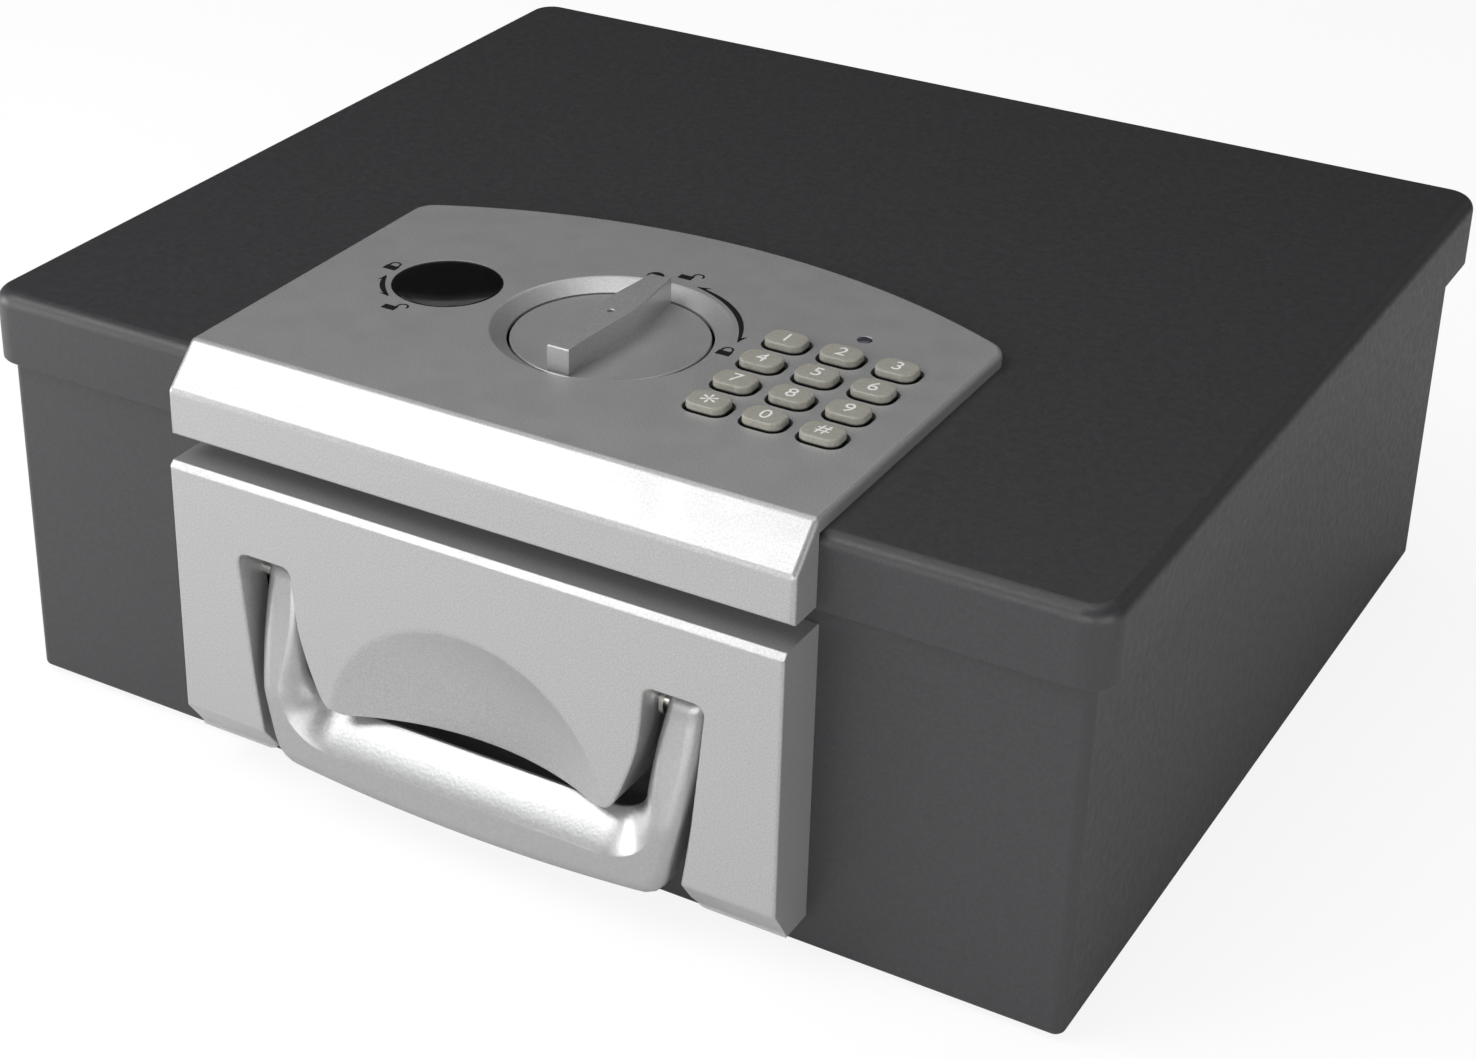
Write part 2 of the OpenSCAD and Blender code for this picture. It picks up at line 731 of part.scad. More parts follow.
// Inner case: a tray under the lid with a bolt mouth and a battery hole
module lock_case() {
    back = case_front + case_d;
    color(BLACK) difference() {
        union() {
            rounded_block(case_w, case_front, back, case_low, lid_under, 4);
            battery_rails();
        }
        difference() {
            rounded_block(case_w - 2 * case_t, case_front + case_t, back - case_t, case_low + case_t,
                lid_under + CUT, 3);
            for (i = [0:3]) case_boss(i);
            bay_ends();
        }
        for (i = [0:3]) case_screw_form(i);
        block([knob_x - bolt_w / 2 - 1, case_front - CUT, bolt_low - 1],
            [knob_x + bolt_w / 2 + 1, case_front + case_t + CUT, bolt_top + 1]);
        block([bay_x0, bay_y0, case_low - CUT], [bay_x1, bay_y1, case_low + case_t + CUT]);
    }
}

module case_at(i) {
    inset = 5.5;
    x = case_w / 2 - inset;
    y = case_d / 2 - inset;
    translate([side_x(i) * x, case_front + case_d / 2 + side_y(i) * y, 0]) children();
}

// Walls at the battery bay's ends, between which the cells are held
module bay_ends() {
    for (y = [bay_y0 - bay_end_t, bay_y1])
        block([bay_x0, y, case_low], [bay_x1, y + bay_end_t, cell_z + cell_r / 2]);
}

module case_boss(i) {
    case_at(i) rod(0, 0, case_low, lid_under, 4);
}

module case_screw_form(i) {
    case_at(i) {
        rod(0, 0, case_low - CUT, case_low + 2, 3);
        rod(0, 0, case_low, lid_under - 4, 1.5);
    }
}

module case_screw(i) {
    color(STEEL) case_at(i) {
        rod(0, 0, case_low, case_low + 2, 3);
        rod(0, 0, case_low + 2, lid_under - 4, 1.5);
    }
}

// Rails of the battery cover, along both of its sides
rail_drop = cell_cover_t + 2 * slide_gap;
cover_x0 = bay_x0 - battery_cover_over;
cover_x1 = bay_x1 + battery_cover_over;
cover_y0 = bay_y0 - battery_cover_over;
cover_y1 = bay_y1 + battery_cover_over;

module battery_rails() {
    lip = 1.2;
    for (s = [0, 1]) {
        x0 = s == 0 ? cover_x0 - slide_gap - 1.5 : cover_x1 + slide_gap;
        lip_x0 = s == 0 ? cover_x0 - slide_gap - 1.5 : cover_x1 - 1;
        block([x0, cover_y0, case_low - rail_drop], [x0 + 1.5, cover_y1, case_low]);
        block([lip_x0, cover_y0, case_low - rail_drop - lip],
            [lip_x0 + 2.5 + slide_gap, cover_y1, case_low - rail_drop]);
    }
}

module battery_cover() {
    top = case_low - slide_gap;
    ribs = 3;
    color(BLACK) union() {
        block([cover_x0, cover_y0, top - cell_cover_t], [cover_x1, cover_y1, top]);
        for (i = [1:ribs])
            block([(cover_x0 + cover_x1) / 2 - 8, cover_y0 + 5 * i, top - cell_cover_t - 1],
                [(cover_x0 + cover_x1) / 2 + 8, cover_y0 + 5 * i + 2, top - cell_cover_t]);
    }
}

module cell(i) {
    x = bay_x0 + (i + 0.5) * cell_pitch;
    y = bay_y0 + (bay_y1 - bay_y0 - cell_len) / 2;
    cap = 1.2;
    // Every second cell lies the other way round
    turned = i % 2 == 1;
    color("#7d8a94") translate([x, y, cell_z]) rotate([-90, 0, 0]) union() {
        translate([0, 0, turned ? cap : 0]) cylinder(r = cell_r, h = cell_len - cap);
        translate([0, 0, turned ? 0 : cell_len - cap]) cylinder(r = 2.7, h = cap);
    }
}

// Handle plate: two legs and a tongue, with the handle's slots between them
plate_z0 = foot_h + plate_low;
plate_z1 = foot_h + plate_top;

module plate_outline() {
    half = plate_w / 2;
    top_r = 3;
    foot_round = 4;
    leg_in = slot_out - slot_lean;
    z = foot_h;
    // Half of the open space, from the tongue's tip round the slot to the leg's lower end
    space = concat(
        [[tongue_tip, z + tongue_low], [slot_in - knee_in, z + tongue_low + knee_up],
            [slot_in - knee_in / 4, z + draw_z]],
        arc([slot_in + top_r, z + slot_top - top_r], top_r, 180, 90, 6),
        arc([slot_out - top_r, z + slot_top - top_r], top_r, 90, 0, 6),
        [[leg_in + lean_mid, z + lean_z], [leg_in, plate_z0 + plate_slope_h]],
        arc([leg_in + foot_round, plate_z0 + foot_round], foot_round, 180, 270, 6),
        [[leg_in + foot_round, plate_z0 - CUT]]
    );
    difference() {
        translate([-half, plate_z0]) square([plate_w, plate_z1 - plate_z0]);
        polygon(concat(space, mirrored(space)));
    }
}

module handle_plate() {
    tip_bevel = 2;
    scoop_big = (scoop_r * scoop_r + scoop_depth * scoop_depth) / (2 * scoop_depth);
    color(SILVER) difference() {
        along_y(plate_front, body_front) plate_outline();
        // Sloping lower end of the legs
        along_x(plate_w + 2 * CUT) polygon([
            [plate_front - CUT, plate_z0 - CUT], [plate_front + plate_slope_d, plate_z0 - CUT],
            [plate_front + plate_slope_d, plate_z0 + 1], [plate_front, plate_z0 + plate_slope_h],
            [plate_front - CUT, plate_z0 + plate_slope_h]
        ]);
        // Eased lower edge of the tongue, past which the grip swings
        along_x(2 * slot_in) polygon([
            [plate_front - CUT, foot_h + tongue_low - CUT],
            [plate_front + tip_bevel, foot_h + tongue_low - CUT],
            [plate_front + tip_bevel, foot_h + tongue_low], [plate_front, foot_h + tongue_low + tip_bevel],
            [plate_front - CUT, foot_h + tongue_low + tip_bevel]
        ]);
        translate([0, plate_front + scoop_depth - scoop_big, foot_h + scoop_z]) sphere(scoop_big, $fn = 96);
        difference() {
            plate_hollows();
            for (i = [0:3]) plate_boss(i);
        }
        for (i = [0:3]) plate_screw_form(i);
        for (s = [-1, 1]) pivot_pin_form(s);
    }
}

// Hollows behind the plate's face, open towards the body
module plate_hollows() {
    y0 = plate_front + plate_wall;
    y1 = body_front + CUT;
    low = foot_h + slot_top + plate_wall;
    leg_out = plate_w / 2 - plate_wall;
    leg_in = slot_out + plate_wall;
    block([-leg_out, y0, low], [leg_out, y1, plate_z1 - plate_wall]);
    for (s = [-1, 1])
        along_y(y0 + plate_slope_d, y1) polygon([
            [s * leg_in, low], [s * leg_out, low], [s * leg_out, plate_z0 + plate_slope_h],
            [s * leg_in, plate_z0 + plate_slope_h]
        ]);
}

module plate_at(i) {
    translate([side_x(i) * fix_x, body_front, foot_h + fix_z[i < 2 ? 0 : 1]]) rotate([-90, 0, 0]) children();
}

module plate_boss(i) {
    plate_at(i) translate([0, 0, -plate_out]) cylinder(r = 4.5, h = plate_out);
}

module plate_screw_form(i) {
    plate_at(i) translate([0, 0, -8]) cylinder(r = screw_r, h = 8 + CUT);
}

module plate_screw(i) {
    head_t = 2.4;
    color(STEEL) plate_at(i) {
        translate([0, 0, -8]) cylinder(r = screw_r, h = 8 + steel_t);
        translate([0, 0, steel_t]) cylinder(r = screw_head_r, h = head_t);
    }
}

// Pivot pins: each spans its slot and carries a washer beside the arm
pivot_x0 = slot_in - 4;
pivot_x1 = slot_out + plate_wall + 1.5;

module pivot_pin_form(s) {
    cross_rod(s > 0 ? pivot_x0 : -pivot_x1, s > 0 ? pivot_x1 : -pivot_x0, pivot_y, foot_h + pivot_z, pivot_r);
}

module handle_pin(s) {
    washer_t = 1.2;
    x = s > 0 ? slot_in + 0.4 : -slot_in - 0.4 - washer_t;
    color("#c9c9c9") union() {
        pivot_pin_form(s);
        cross_rod(x, x + washer_t, pivot_y, foot_h + pivot_z, pivot_r + 1.8);
    }
}

// The point to the right of c1 and c2 at distances r1 and r2 from them
function meet(c1, r1, c2, r2) =
    let (gap = norm(c2 - c1), u = (c2 - c1) / gap, a = (r1 * r1 - r2 * r2 + gap * gap) / (2 * gap))
    c1 + a * u + sqrt(r1 * r1 - a * a) * [u[1], -u[0]];

// Inner side of an arm at height z over the body's underside
function arm_inner(z) = arm_out - arm_w - (pivot_z - z) * tan(arm_lean);

// Handle: the front outline cut from the side profile
module handle_outline() {
    z = foot_h;
    top = z + pivot_z + arm_end_r;
    bow_c = [0, z + grip_low + bow_r];
    side_c = [arm_out - side_r, z + side_top];
    corner_c = meet(side_c, side_r - outer_r, bow_c, bow_r - outer_r);
    from_bow = corner_c - bow_c;
    from_side = corner_c - side_c;
    bow_end = 360 + atan2(from_bow[1], from_bow[0]);
    side_end = 360 + atan2(from_side[1], from_side[0]);
    inner_z = grip_top + inner_r;
    inner_c = [arm_inner(inner_z) - inner_r / cos(arm_lean), z + inner_z];
    half = concat(
        arc(bow_c, bow_r, 270, bow_end, 10),
        arc(corner_c, outer_r, bow_end, side_end, 8),
        arc(side_c, side_r, side_end, 360, 6),
        [[arm_out, top], [arm_inner(pivot_z + arm_end_r), top]],
        arc(inner_c, inner_r, -arm_lean, -90, 10)
    );
    polygon(concat(half, mirrored(half)));
}

module handle_profile() {
    z = foot_h;
    front = plate_front - grip_proud;
    back = front + grip_d;
    r = grip_d / 2;
    polygon(concat(
        arc([pivot_y, z + pivot_z], arm_end_r, 0, 180, 12),
        [[front, z + grip_top + 4]],
        arc([front + r, z + grip_low + r], r, 180, 360, 12),
        [[back, z + grip_top + 4]]
    ));
}

module handle() {
    color(SILVER) difference() {
        intersection() {
            along_y(plate_front - grip_proud - CUT, body_front) handle_outline();
            along_x(2 * arm_out + CUT) handle_profile();
        }
        for (x = [slot_in, -slot_out])
            cross_rod(x, x + slot_w, pivot_y, foot_h + pivot_z, pivot_r + run_fit);
    }
}

body_shell();
floor_mat();
foot(0);  // foot_1
foot(1);  // foot_2
foot(2);  // foot_3
foot(3);  // foot_4
body_leaf(-1);  // body_leaf_left
body_leaf(1);  // body_leaf_right
hinge_pin(-1);  // hinge_pin_left
hinge_pin(1);  // hinge_pin_right
lid_leaf(-1);  // lid_leaf_left
lid_leaf(1);  // lid_leaf_right
handle_plate();
plate_screw(0);  // plate_screw_1
plate_screw(1);  // plate_screw_2
plate_screw(2);  // plate_screw_3
plate_screw(3);  // plate_screw_4
handle();
handle_pin(-1);  // handle_pin_left
handle_pin(1);  // handle_pin_right
lid_shell();
lock_panel();
knob();
crank();
bolt();
key_cover();
lock_sleeve();
lock_plug();
key_cap(0);  // key_1
key_cap(1);  // key_2
key_cap(2);  // key_3
key_cap(3);  // key_4
key_cap(4);  // key_5
key_cap(5);  // key_6
key_cap(6);  // key_7
key_cap(7);  // key_8
key_cap(8);  // key_9
key_cap(9);  // key_star
key_cap(10);  // key_0
key_cap(11);  // key_hash
lamp();
keypad_board();
lock_chassis();
solenoid();
plunger();
lock_case();
case_screw(0);  // case_screw_1
case_screw(1);  // case_screw_2
case_screw(2);  // case_screw_3
case_screw(3);  // case_screw_4
cell(0);  // cell_1
cell(1);  // cell_2
cell(2);  // cell_3
cell(3);  // cell_4
battery_cover();
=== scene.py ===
import math

import bmesh
import bpy
from mathutils import Matrix, Vector


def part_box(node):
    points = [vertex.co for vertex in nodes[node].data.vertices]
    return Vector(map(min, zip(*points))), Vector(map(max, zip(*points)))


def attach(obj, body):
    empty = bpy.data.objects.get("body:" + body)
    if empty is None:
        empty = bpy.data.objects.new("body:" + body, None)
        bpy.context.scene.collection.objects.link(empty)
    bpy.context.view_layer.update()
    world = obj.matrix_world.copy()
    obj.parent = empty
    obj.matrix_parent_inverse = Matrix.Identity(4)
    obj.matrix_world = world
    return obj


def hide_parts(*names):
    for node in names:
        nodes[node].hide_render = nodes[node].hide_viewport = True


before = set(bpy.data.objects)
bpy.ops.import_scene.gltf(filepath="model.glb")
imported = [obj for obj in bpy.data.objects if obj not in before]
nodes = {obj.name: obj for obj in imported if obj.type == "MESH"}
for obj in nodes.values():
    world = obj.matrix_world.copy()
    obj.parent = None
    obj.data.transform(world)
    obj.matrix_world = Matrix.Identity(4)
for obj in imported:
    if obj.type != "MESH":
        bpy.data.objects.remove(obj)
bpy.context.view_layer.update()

# Body: a tray folded and welded from 1.2 mm sheet steel, with a rim folded inwards along its top.
# It is powder coated in charcoal, and two floor holes take fixing bolts.
MM = 0.001
STEEL_T = 1.2
BODY_CORNER, WALL_CORNER = 3.0, 1.6
BODY_BEND = 1.5
RIM_W = 12.0
FIXING_SPAN = 200.0
FIXING_R = 4.0


def box_mm(node):
    """Lowest and highest corner of a CAD node, in millimetres."""
    low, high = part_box(node)
    return low / MM, high / MM


def arc(cx, cy, r, start, end, steps, r_y=None):
    """Points on the arc of a circle or an ellipse between two angles in degrees."""
    turns = [math.radians(start + (end - start) * i / steps) for i in range(steps + 1)]
    return [(cx + r * math.cos(t), cy + (r_y or r) * math.sin(t)) for t in turns]


def rounded_rectangle(low, high, inset, r, z, steps=8):
    """A level ring with round corners, drawn in from a box's sides."""
    x0, y0, x1, y1 = low.x + inset, low.y + inset, high.x - inset, high.y - inset
    corners = [(x1 - r, y0 + r, -90), (x1 - r, y1 - r, 0), (x0 + r, y1 - r, 90), (x0 + r, y0 + r, 180)]
    return [(x, y, z) for cx, cy, a in corners for x, y in arc(cx, cy, r, a, a + 90, steps)]


def skin(rings):
    """Quads through rings of equal count, with a face over each end."""
    bm = bmesh.new()
    rows = [[bm.verts.new(p) for p in ring] for ring in rings]
    for a, b in zip(rows, rows[1:]):
        for i in range(len(a)):
            j = (i + 1) % len(a)
            bm.faces.new((a[i], a[j], b[j], b[i]))
    bm.faces.new(rows[0][::-1])
    bm.faces.new(rows[-1])
    bmesh.ops.recalc_face_normals(bm, faces=bm.faces)
    return bm


def turned(profile, x=0.0, y=0.0, steps=64):
    """A closed solid turned round a vertical axis from (radius, height) points."""
    return skin([[(px, py, z) for px, py in arc(x, y, r, 0, 360, steps)[:-1]] for r, z in profile])


def put(name, data):
    """A new object in the scene."""
    obj = bpy.data.objects.new(name, data)
    bpy.context.scene.collection.objects.link(obj)
    return obj


def make(name, bm):
    """An object in metres from a mesh in millimetres."""
    mesh = bpy.data.meshes.new(name)
    bm.transform(Matrix.Scale(MM, 4))
    bm.to_mesh(mesh)
    bm.free()
    return put(name, mesh)


def settle(obj):
    """Turns the piece with its modifiers into a plain mesh."""
    graph = bpy.context.evaluated_depsgraph_get()
    mesh = bpy.data.meshes.new_from_object(obj.evaluated_get(graph), depsgraph=graph)
    obj.modifiers.clear()
    old, obj.data = obj.data, mesh
    bpy.data.meshes.remove(old)
    mesh.name = obj.name
    return obj


def cut(obj, *tools):
    """Takes the closed meshes of the tools away from a piece."""
    for tool_mesh in tools:
        tool = make("cutter", tool_mesh)
        step = obj.modifiers.new("cut", "BOOLEAN")
        step.operation, step.solver, step.object = "DIFFERENCE", "EXACT", tool
        settle(obj)
        bpy.data.objects.remove(tool)
    return obj


def soften(obj, width, share_of, segments=4):
    """Rounds each real edge by its share of a width; the rule takes the edge's ends in millimetres."""
    bm = bmesh.new()
    bm.from_mesh(obj.data)
    shares = bm.edges.layers.float.new("bevel_weight_edge")
    for edge in bm.edges:
        if edge.calc_face_angle(0.0) > math.radians(12):
            edge[shares] = share_of(*[v.co / MM for v in edge.verts])
    bm.to_mesh(obj.data)
    bm.free()
    step = obj.modifiers.new("rounded_edges", "BEVEL")
    step.width, step.segments, step.use_clamp_overlap = width * MM, segments, False
    step.limit_method = "WEIGHT"
    return settle(obj)


def dress(obj, body, coat, stands_for=(), angle=40):
    """Gives a finished mesh its shading and material, and its place in the frame."""
    obj.data.materials.clear()
    obj.data.materials.append(coat)
    obj.data.shade_smooth()
    obj.data.set_sharp_from_angle(angle=math.radians(angle))
    even = obj.modifiers.new("even_shading", "WEIGHTED_NORMAL")
    even.keep_sharp = True
    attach(obj, body)
    if stands_for:
        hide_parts(*stands_for)
    return obj


def linear(code):
    """Linear colour of an sRGB hex value."""
    parts = [int(code[i:i + 2], 16) / 255 for i in (0, 2, 4)]
    return (*[c / 12.92 if c <= 0.04045 else ((c + 0.055) / 1.055) ** 2.4 for c in parts], 1.0)


def add(tree, kind, inputs=(), **settings):
    """Adds a node with its settings; an input is a value, an output or a node with its first output."""
    node = tree.nodes.new(kind)
    for name, value in settings.items():
        setattr(node, name, value)
    for name, value in dict(inputs).items():
        if isinstance(value, bpy.types.Node):
            value = value.outputs[0]
        if isinstance(value, bpy.types.NodeSocket):
            tree.links.new(value, node.inputs[name])
        else:
            node.inputs[name].default_value = value
    return node


def surface(name, **values):
    """A material with one shader."""
    coat = bpy.data.materials.new(name)
    coat.use_nodes = True
    tree = coat.node_tree
    tree.nodes.clear()
    shader = add(tree, "ShaderNodeBsdfPrincipled")
    for key, value in values.items():
        shader.inputs[key.replace("_", " ")].default_value = value
    add(tree, "ShaderNodeOutputMaterial", {"Surface": shader})
    add(tree, "ShaderNodeTexCoord")
    return coat


def insides(coat):
    """A material's tree, its shader and its Object coordinates."""
    tree = coat.node_tree
    return tree, tree.nodes["Principled BSDF"], tree.nodes["Texture Coordinate"].outputs["Object"]


def vary(coat, factor, colours=None, stops=(0.3, 0.7), roughness=None, depth_mm=None, strength=1.0):
    """Lets a pattern, between its two stops, blend two hex colours or two values of roughness, or lets
    it raise the surface."""
    tree, shader, _ = insides(coat)
    if colours:
        ramp = add(tree, "ShaderNodeValToRGB", {"Fac": factor})
        for stop, place, code in zip(ramp.color_ramp.elements, stops, colours):
            stop.position, stop.color = place, linear(code)
        tree.links.new(ramp.outputs["Color"], shader.inputs["Base Color"])
    if roughness:
        (start, end), (smooth, rough) = stops, roughness
        blend = add(tree, "ShaderNodeMapRange", {
            "Value": factor, "From Min": start, "From Max": end, "To Min": smooth, "To Max": rough})
        tree.links.new(blend.outputs["Result"], shader.inputs["Roughness"])
    if depth_mm:
        bump = add(tree, "ShaderNodeBump", {"Height": factor, "Distance": depth_mm * MM, "Strength": strength})
        tree.links.new(bump.outputs["Normal"], shader.inputs["Normal"])


def grain(coat, apart_mm, detail=2.0, **changes):
    """Varies a material by even noise with its grains that far apart."""
    tree, _, where = insides(coat)
    noise = add(tree, "ShaderNodeTexNoise", {"Vector": where, "Scale": 1 / (apart_mm * MM), "Detail": detail})
    vary(coat, noise.outputs["Fac"], **changes)


# Polyester powder coat on steel, sprayed and baked: a fine, slightly pebbled satin with tiny
# glints. The real pebbles are about 0.4 mm; they are drawn 0.8 mm apart to show at all.
powder_coat = surface("powder_coat_charcoal", Roughness=0.5)
grain(powder_coat, 0.8, 3.0, colours=("313133", "39393b"), depth_mm=0.05, strength=0.6)
grain(powder_coat, 2.5, roughness=(0.36, 0.46))

low, high = box_mm("body_shell")
bend, inner, rim_low = BODY_BEND, STEEL_T, high.z - STEEL_T
# Each point of the wall's section: distance in from the side, height and the corners' radius there
profile = [(inner + bend + 1, low.z + inner, 1.0)]
profile += [(x, z, WALL_CORNER) for x, z in arc(inner + bend, low.z + inner + bend, bend, 270, 180, 4)]
profile += [(inner, rim_low - 0.3, 1.8), (inner + 0.3, rim_low, 2.0), (RIM_W - 0.4, rim_low, BODY_CORNER)]
profile += [(RIM_W, high.z - inner / 2, BODY_CORNER), (RIM_W - 0.4, high.z, BODY_CORNER)]
outside = arc(bend, high.z - bend, bend, 90, 180, 5) + arc(bend, low.z + bend, bend, 180, 270, 5)
profile += [(x, z, max(BODY_CORNER - x, WALL_CORNER)) for x, z in outside]
body = make("body_tray", skin([rounded_rectangle(low, high, x, r, z) for x, z, r in profile]))
fixings = [Vector((s * FIXING_SPAN / 2, (low.y + high.y) / 2, 0)) for s in (-1, 1)]


def drill(r, centre, z0, z1, steps=64):
    """A round cutter."""
    return turned([(r, z0), (r, z1)], centre.x, centre.y, steps)


bores = [drill(FIXING_R, spot, low.z - 2, low.z + 4, 40) for spot in fixings]
dress(cut(body, *bores), "box", powder_coat, ["body_shell"])

# Felt mat: a die-cut sheet of black-grey needle felt, 2 mm thick, glued to the body's floor, with
# round clearings for the heads of the fixing bolts.
MAT_CORNER, MAT_CLEARING_R = 3.0, 10.0
# Needle felt: dull, with a faint lighter bloom at low angles; its tufts are about 1 mm apart
felt = surface("needle_felt", Roughness=0.95, Sheen_Weight=0.35, Sheen_Roughness=0.6)
grain(felt, 1.1, 6.0, colours=("222225", "3a3a3e"), depth_mm=0.4)

low, high = box_mm("floor_mat")
edge = [(0.0, low.z), (0.0, high.z - 0.6), (0.2, high.z - 0.2), (0.7, high.z)]
mat = make("floor_mat_felt", skin([rounded_rectangle(low, high, x, MAT_CORNER, z) for x, z in edge]))
holes = [drill(MAT_CLEARING_R, spot, low.z - 1, high.z + 1, 40) for spot in fixings]
dress(cut(mat, *holes), "box", felt, ["floor_mat"])
size = (high - low) * MM

# Feet: four self-adhesive buttons of black rubber, with a domed rim and a flat face to stand on.
# Moulded rubber: matt black, greyed by dust in patches 1.5 mm apart
foot_rubber = surface("moulded_rubber", Roughness=0.75)
grain(foot_rubber, 1.5, 4.0, colours=("161617", "242425"), depth_mm=0.06)


def node_tree(name, inputs):
    """An empty Geometry Nodes tree with named inputs. Returns it with its input and output nodes."""
    tree = bpy.data.node_groups.new(name, "GeometryNodeTree")
    tree.interface.new_socket("Geometry", in_out="OUTPUT", socket_type="NodeSocketGeometry")
    tree.interface.new_socket("Geometry", in_out="INPUT", socket_type="NodeSocketGeometry")
    for label, kind in inputs.items():
        tree.interface.new_socket(label, in_out="INPUT", socket_type=kind)
    return tree, add(tree, "NodeGroupInput"), add(tree, "NodeGroupOutput")


def end_tree(tree, given, result, shape, turn=(0, 0, 0)):
    """Ends a tree: a copy of the shape on each point, made real and given its Finish."""
    copies = add(tree, "GeometryNodeInstanceOnPoints", {
        "Points": given.outputs["Geometry"], "Instance": shape, "Rotation": turn})
    real = add(tree, "GeometryNodeRealizeInstances", {"Geometry": copies})
    coated = add(tree, "GeometryNodeSetMaterial", {"Geometry": real, "Material": given.outputs["Finish"]})
    tree.links.new(coated.outputs[0], result.inputs[0])


def grow(name, points, tree, values):
    """Runs a tree on a row of points, given in millimetres, and keeps the plain mesh."""
    mesh = bpy.data.meshes.new(name)
    mesh.from_pydata([Vector(p) * MM for p in points], [], [])
    obj = put(name, mesh)
    step = obj.modifiers.new(name, "NODES")
    step.node_group = tree
    for item in tree.interface.items_tree:
        if item.in_out == "INPUT" and item.name in values:
            value = values[item.name]
            step[item.identifier] = list(value) if isinstance(value, Vector) else value
    return settle(obj)


# A button: each point of a ball moves out to a block with round corners and soft edges. The same
# tree makes the feet and the keys.
button_tree, given, result = node_tree("soft_button", {
    "Size": "NodeSocketVector", "Corner Radius": "NodeSocketFloat", "Edge Radius": "NodeSocketFloat",
    "Finish": "NodeSocketMaterial",
})
tree = button_tree
corner, edge = given.outputs["Corner Radius"], given.outputs["Edge Radius"]
ball = add(tree, "GeometryNodeMeshUVSphere", {"Segments": 48, "Rings": 20})
at = add(tree, "GeometryNodeInputPosition")
radii = add(tree, "ShaderNodeCombineXYZ", {"X": corner, "Y": corner, "Z": edge})
half = add(tree, "ShaderNodeVectorMath", {0: given.outputs["Size"], 1: (0.5, 0.5, 0.5)}, operation="MULTIPLY")
core = add(tree, "ShaderNodeVectorMath", {0: half, 1: radii}, operation="SUBTRACT")
near = add(tree, "ShaderNodeVectorMath", {0: at, 1: (0.001, 0.001, 0.001)}, operation="SNAP")
side = add(tree, "ShaderNodeVectorMath", {0: near}, operation="SIGN")
block = add(tree, "ShaderNodeVectorMath", {0: side, 1: core}, operation="MULTIPLY")
# Towards the poles the corners shrink with the ball's own reach, so that the flat faces close
in_plan = add(tree, "ShaderNodeVectorMath", {0: at, 1: (1, 1, 0)}, operation="MULTIPLY")
outward = add(tree, "ShaderNodeVectorMath", {0: in_plan}, operation="NORMALIZE")
reach = add(tree, "ShaderNodeVectorMath", {0: in_plan}, operation="LENGTH").outputs["Value"]
share = add(tree, "ShaderNodeMath", {0: reach, 1: 0.35}, operation="DIVIDE", use_clamp=True)
more = add(tree, "ShaderNodeMath", {0: corner, 1: edge}, operation="SUBTRACT")
full = add(tree, "ShaderNodeVectorMath", {0: outward, 1: more}, operation="MULTIPLY")
rounded = add(tree, "ShaderNodeVectorMath", {0: full, 1: share, 2: block}, operation="MULTIPLY_ADD")
place = add(tree, "ShaderNodeVectorMath", {0: at, 1: edge, 2: rounded}, operation="MULTIPLY_ADD")
shaped = add(tree, "GeometryNodeSetPosition", {"Geometry": ball, "Position": place})
end_tree(tree, given, result, shaped)


def button(name, points, size, corner_r, edge_r, finish):
    """Round blocks centred on those points, with sizes in millimetres."""
    values = {"Size": size * MM, "Corner Radius": corner_r * MM, "Edge Radius": edge_r * MM, "Finish": finish}
    return grow(name, points, button_tree, values)


FOOT_EDGE = 0.7
foot_names = [f"foot_{i}" for i in range(1, 5)]
foot_boxes = [box_mm(n) for n in foot_names]
foot_size = foot_boxes[0][1] - foot_boxes[0][0]
foot_points = [(a + b) / 2 for a, b in foot_boxes]
feet = button("rubber_feet", foot_points, foot_size, foot_size.x / 2, FOOT_EDGE, foot_rubber)
dress(feet, "box", foot_rubber, foot_names)

# Hinges: folded steel leaves welded to the body's back and to the lid's skirt and coated with them,
# on pins of bright zinc-plated wire.
# Zinc plate on steel: a cool, slightly cloudy shine, with the bloom of the bath 6 mm apart
zinc = surface("zinc_plated_steel", Metallic=1.0, Roughness=0.32)
grain(zinc, 6.0, 4.0, colours=("8f9294", "b3b5b4"), roughness=(0.26, 0.42))
grain(zinc, 0.6, depth_mm=0.01)


def finish_node(coat, *names):
    """Gives CAD nodes that keep their shape their material."""
    for name in names:
        mesh = nodes[name].data
        mesh.materials.clear()
        mesh.materials.append(coat)


finish_node(powder_coat, "body_leaf_left", "body_leaf_right", "lid_leaf_left", "lid_leaf_right")
finish_node(zinc, "hinge_pin_left", "hinge_pin_right")

# Lid: one blank of the same steel, drawn and welded to a shallow cap with a 4 mm rolled top edge
# and rounded corners, and coated like the body. The lock works pass through its three openings.
LID_CORNER = 9.0
LID_EDGE = 4.0
KNOB_HOLE_R, SLEEVE_HOLE_R = 30.0, 10.0
# The keypad's window is smaller than the circuit board by this much at the sides, front and back
WINDOW_SIDE, WINDOW_FRONT, WINDOW_BACK = 2.7, 0.7, 4.5
low, high = box_mm("lid_shell")
inner_edge = LID_EDGE - STEEL_T
profile = arc(LID_EDGE, high.z - LID_EDGE, inner_edge, 90, 180, 6)
profile += [(STEEL_T, low.z + 0.4), (STEEL_T - 0.3, low.z), (0.3, low.z), (0.0, low.z + 0.4)]
profile += arc(LID_EDGE, high.z - LID_EDGE, LID_EDGE, 180, 90, 10)
lid = make("lid_cap", skin([rounded_rectangle(low, high, x, LID_CORNER - x, z, 12) for x, z in profile]))

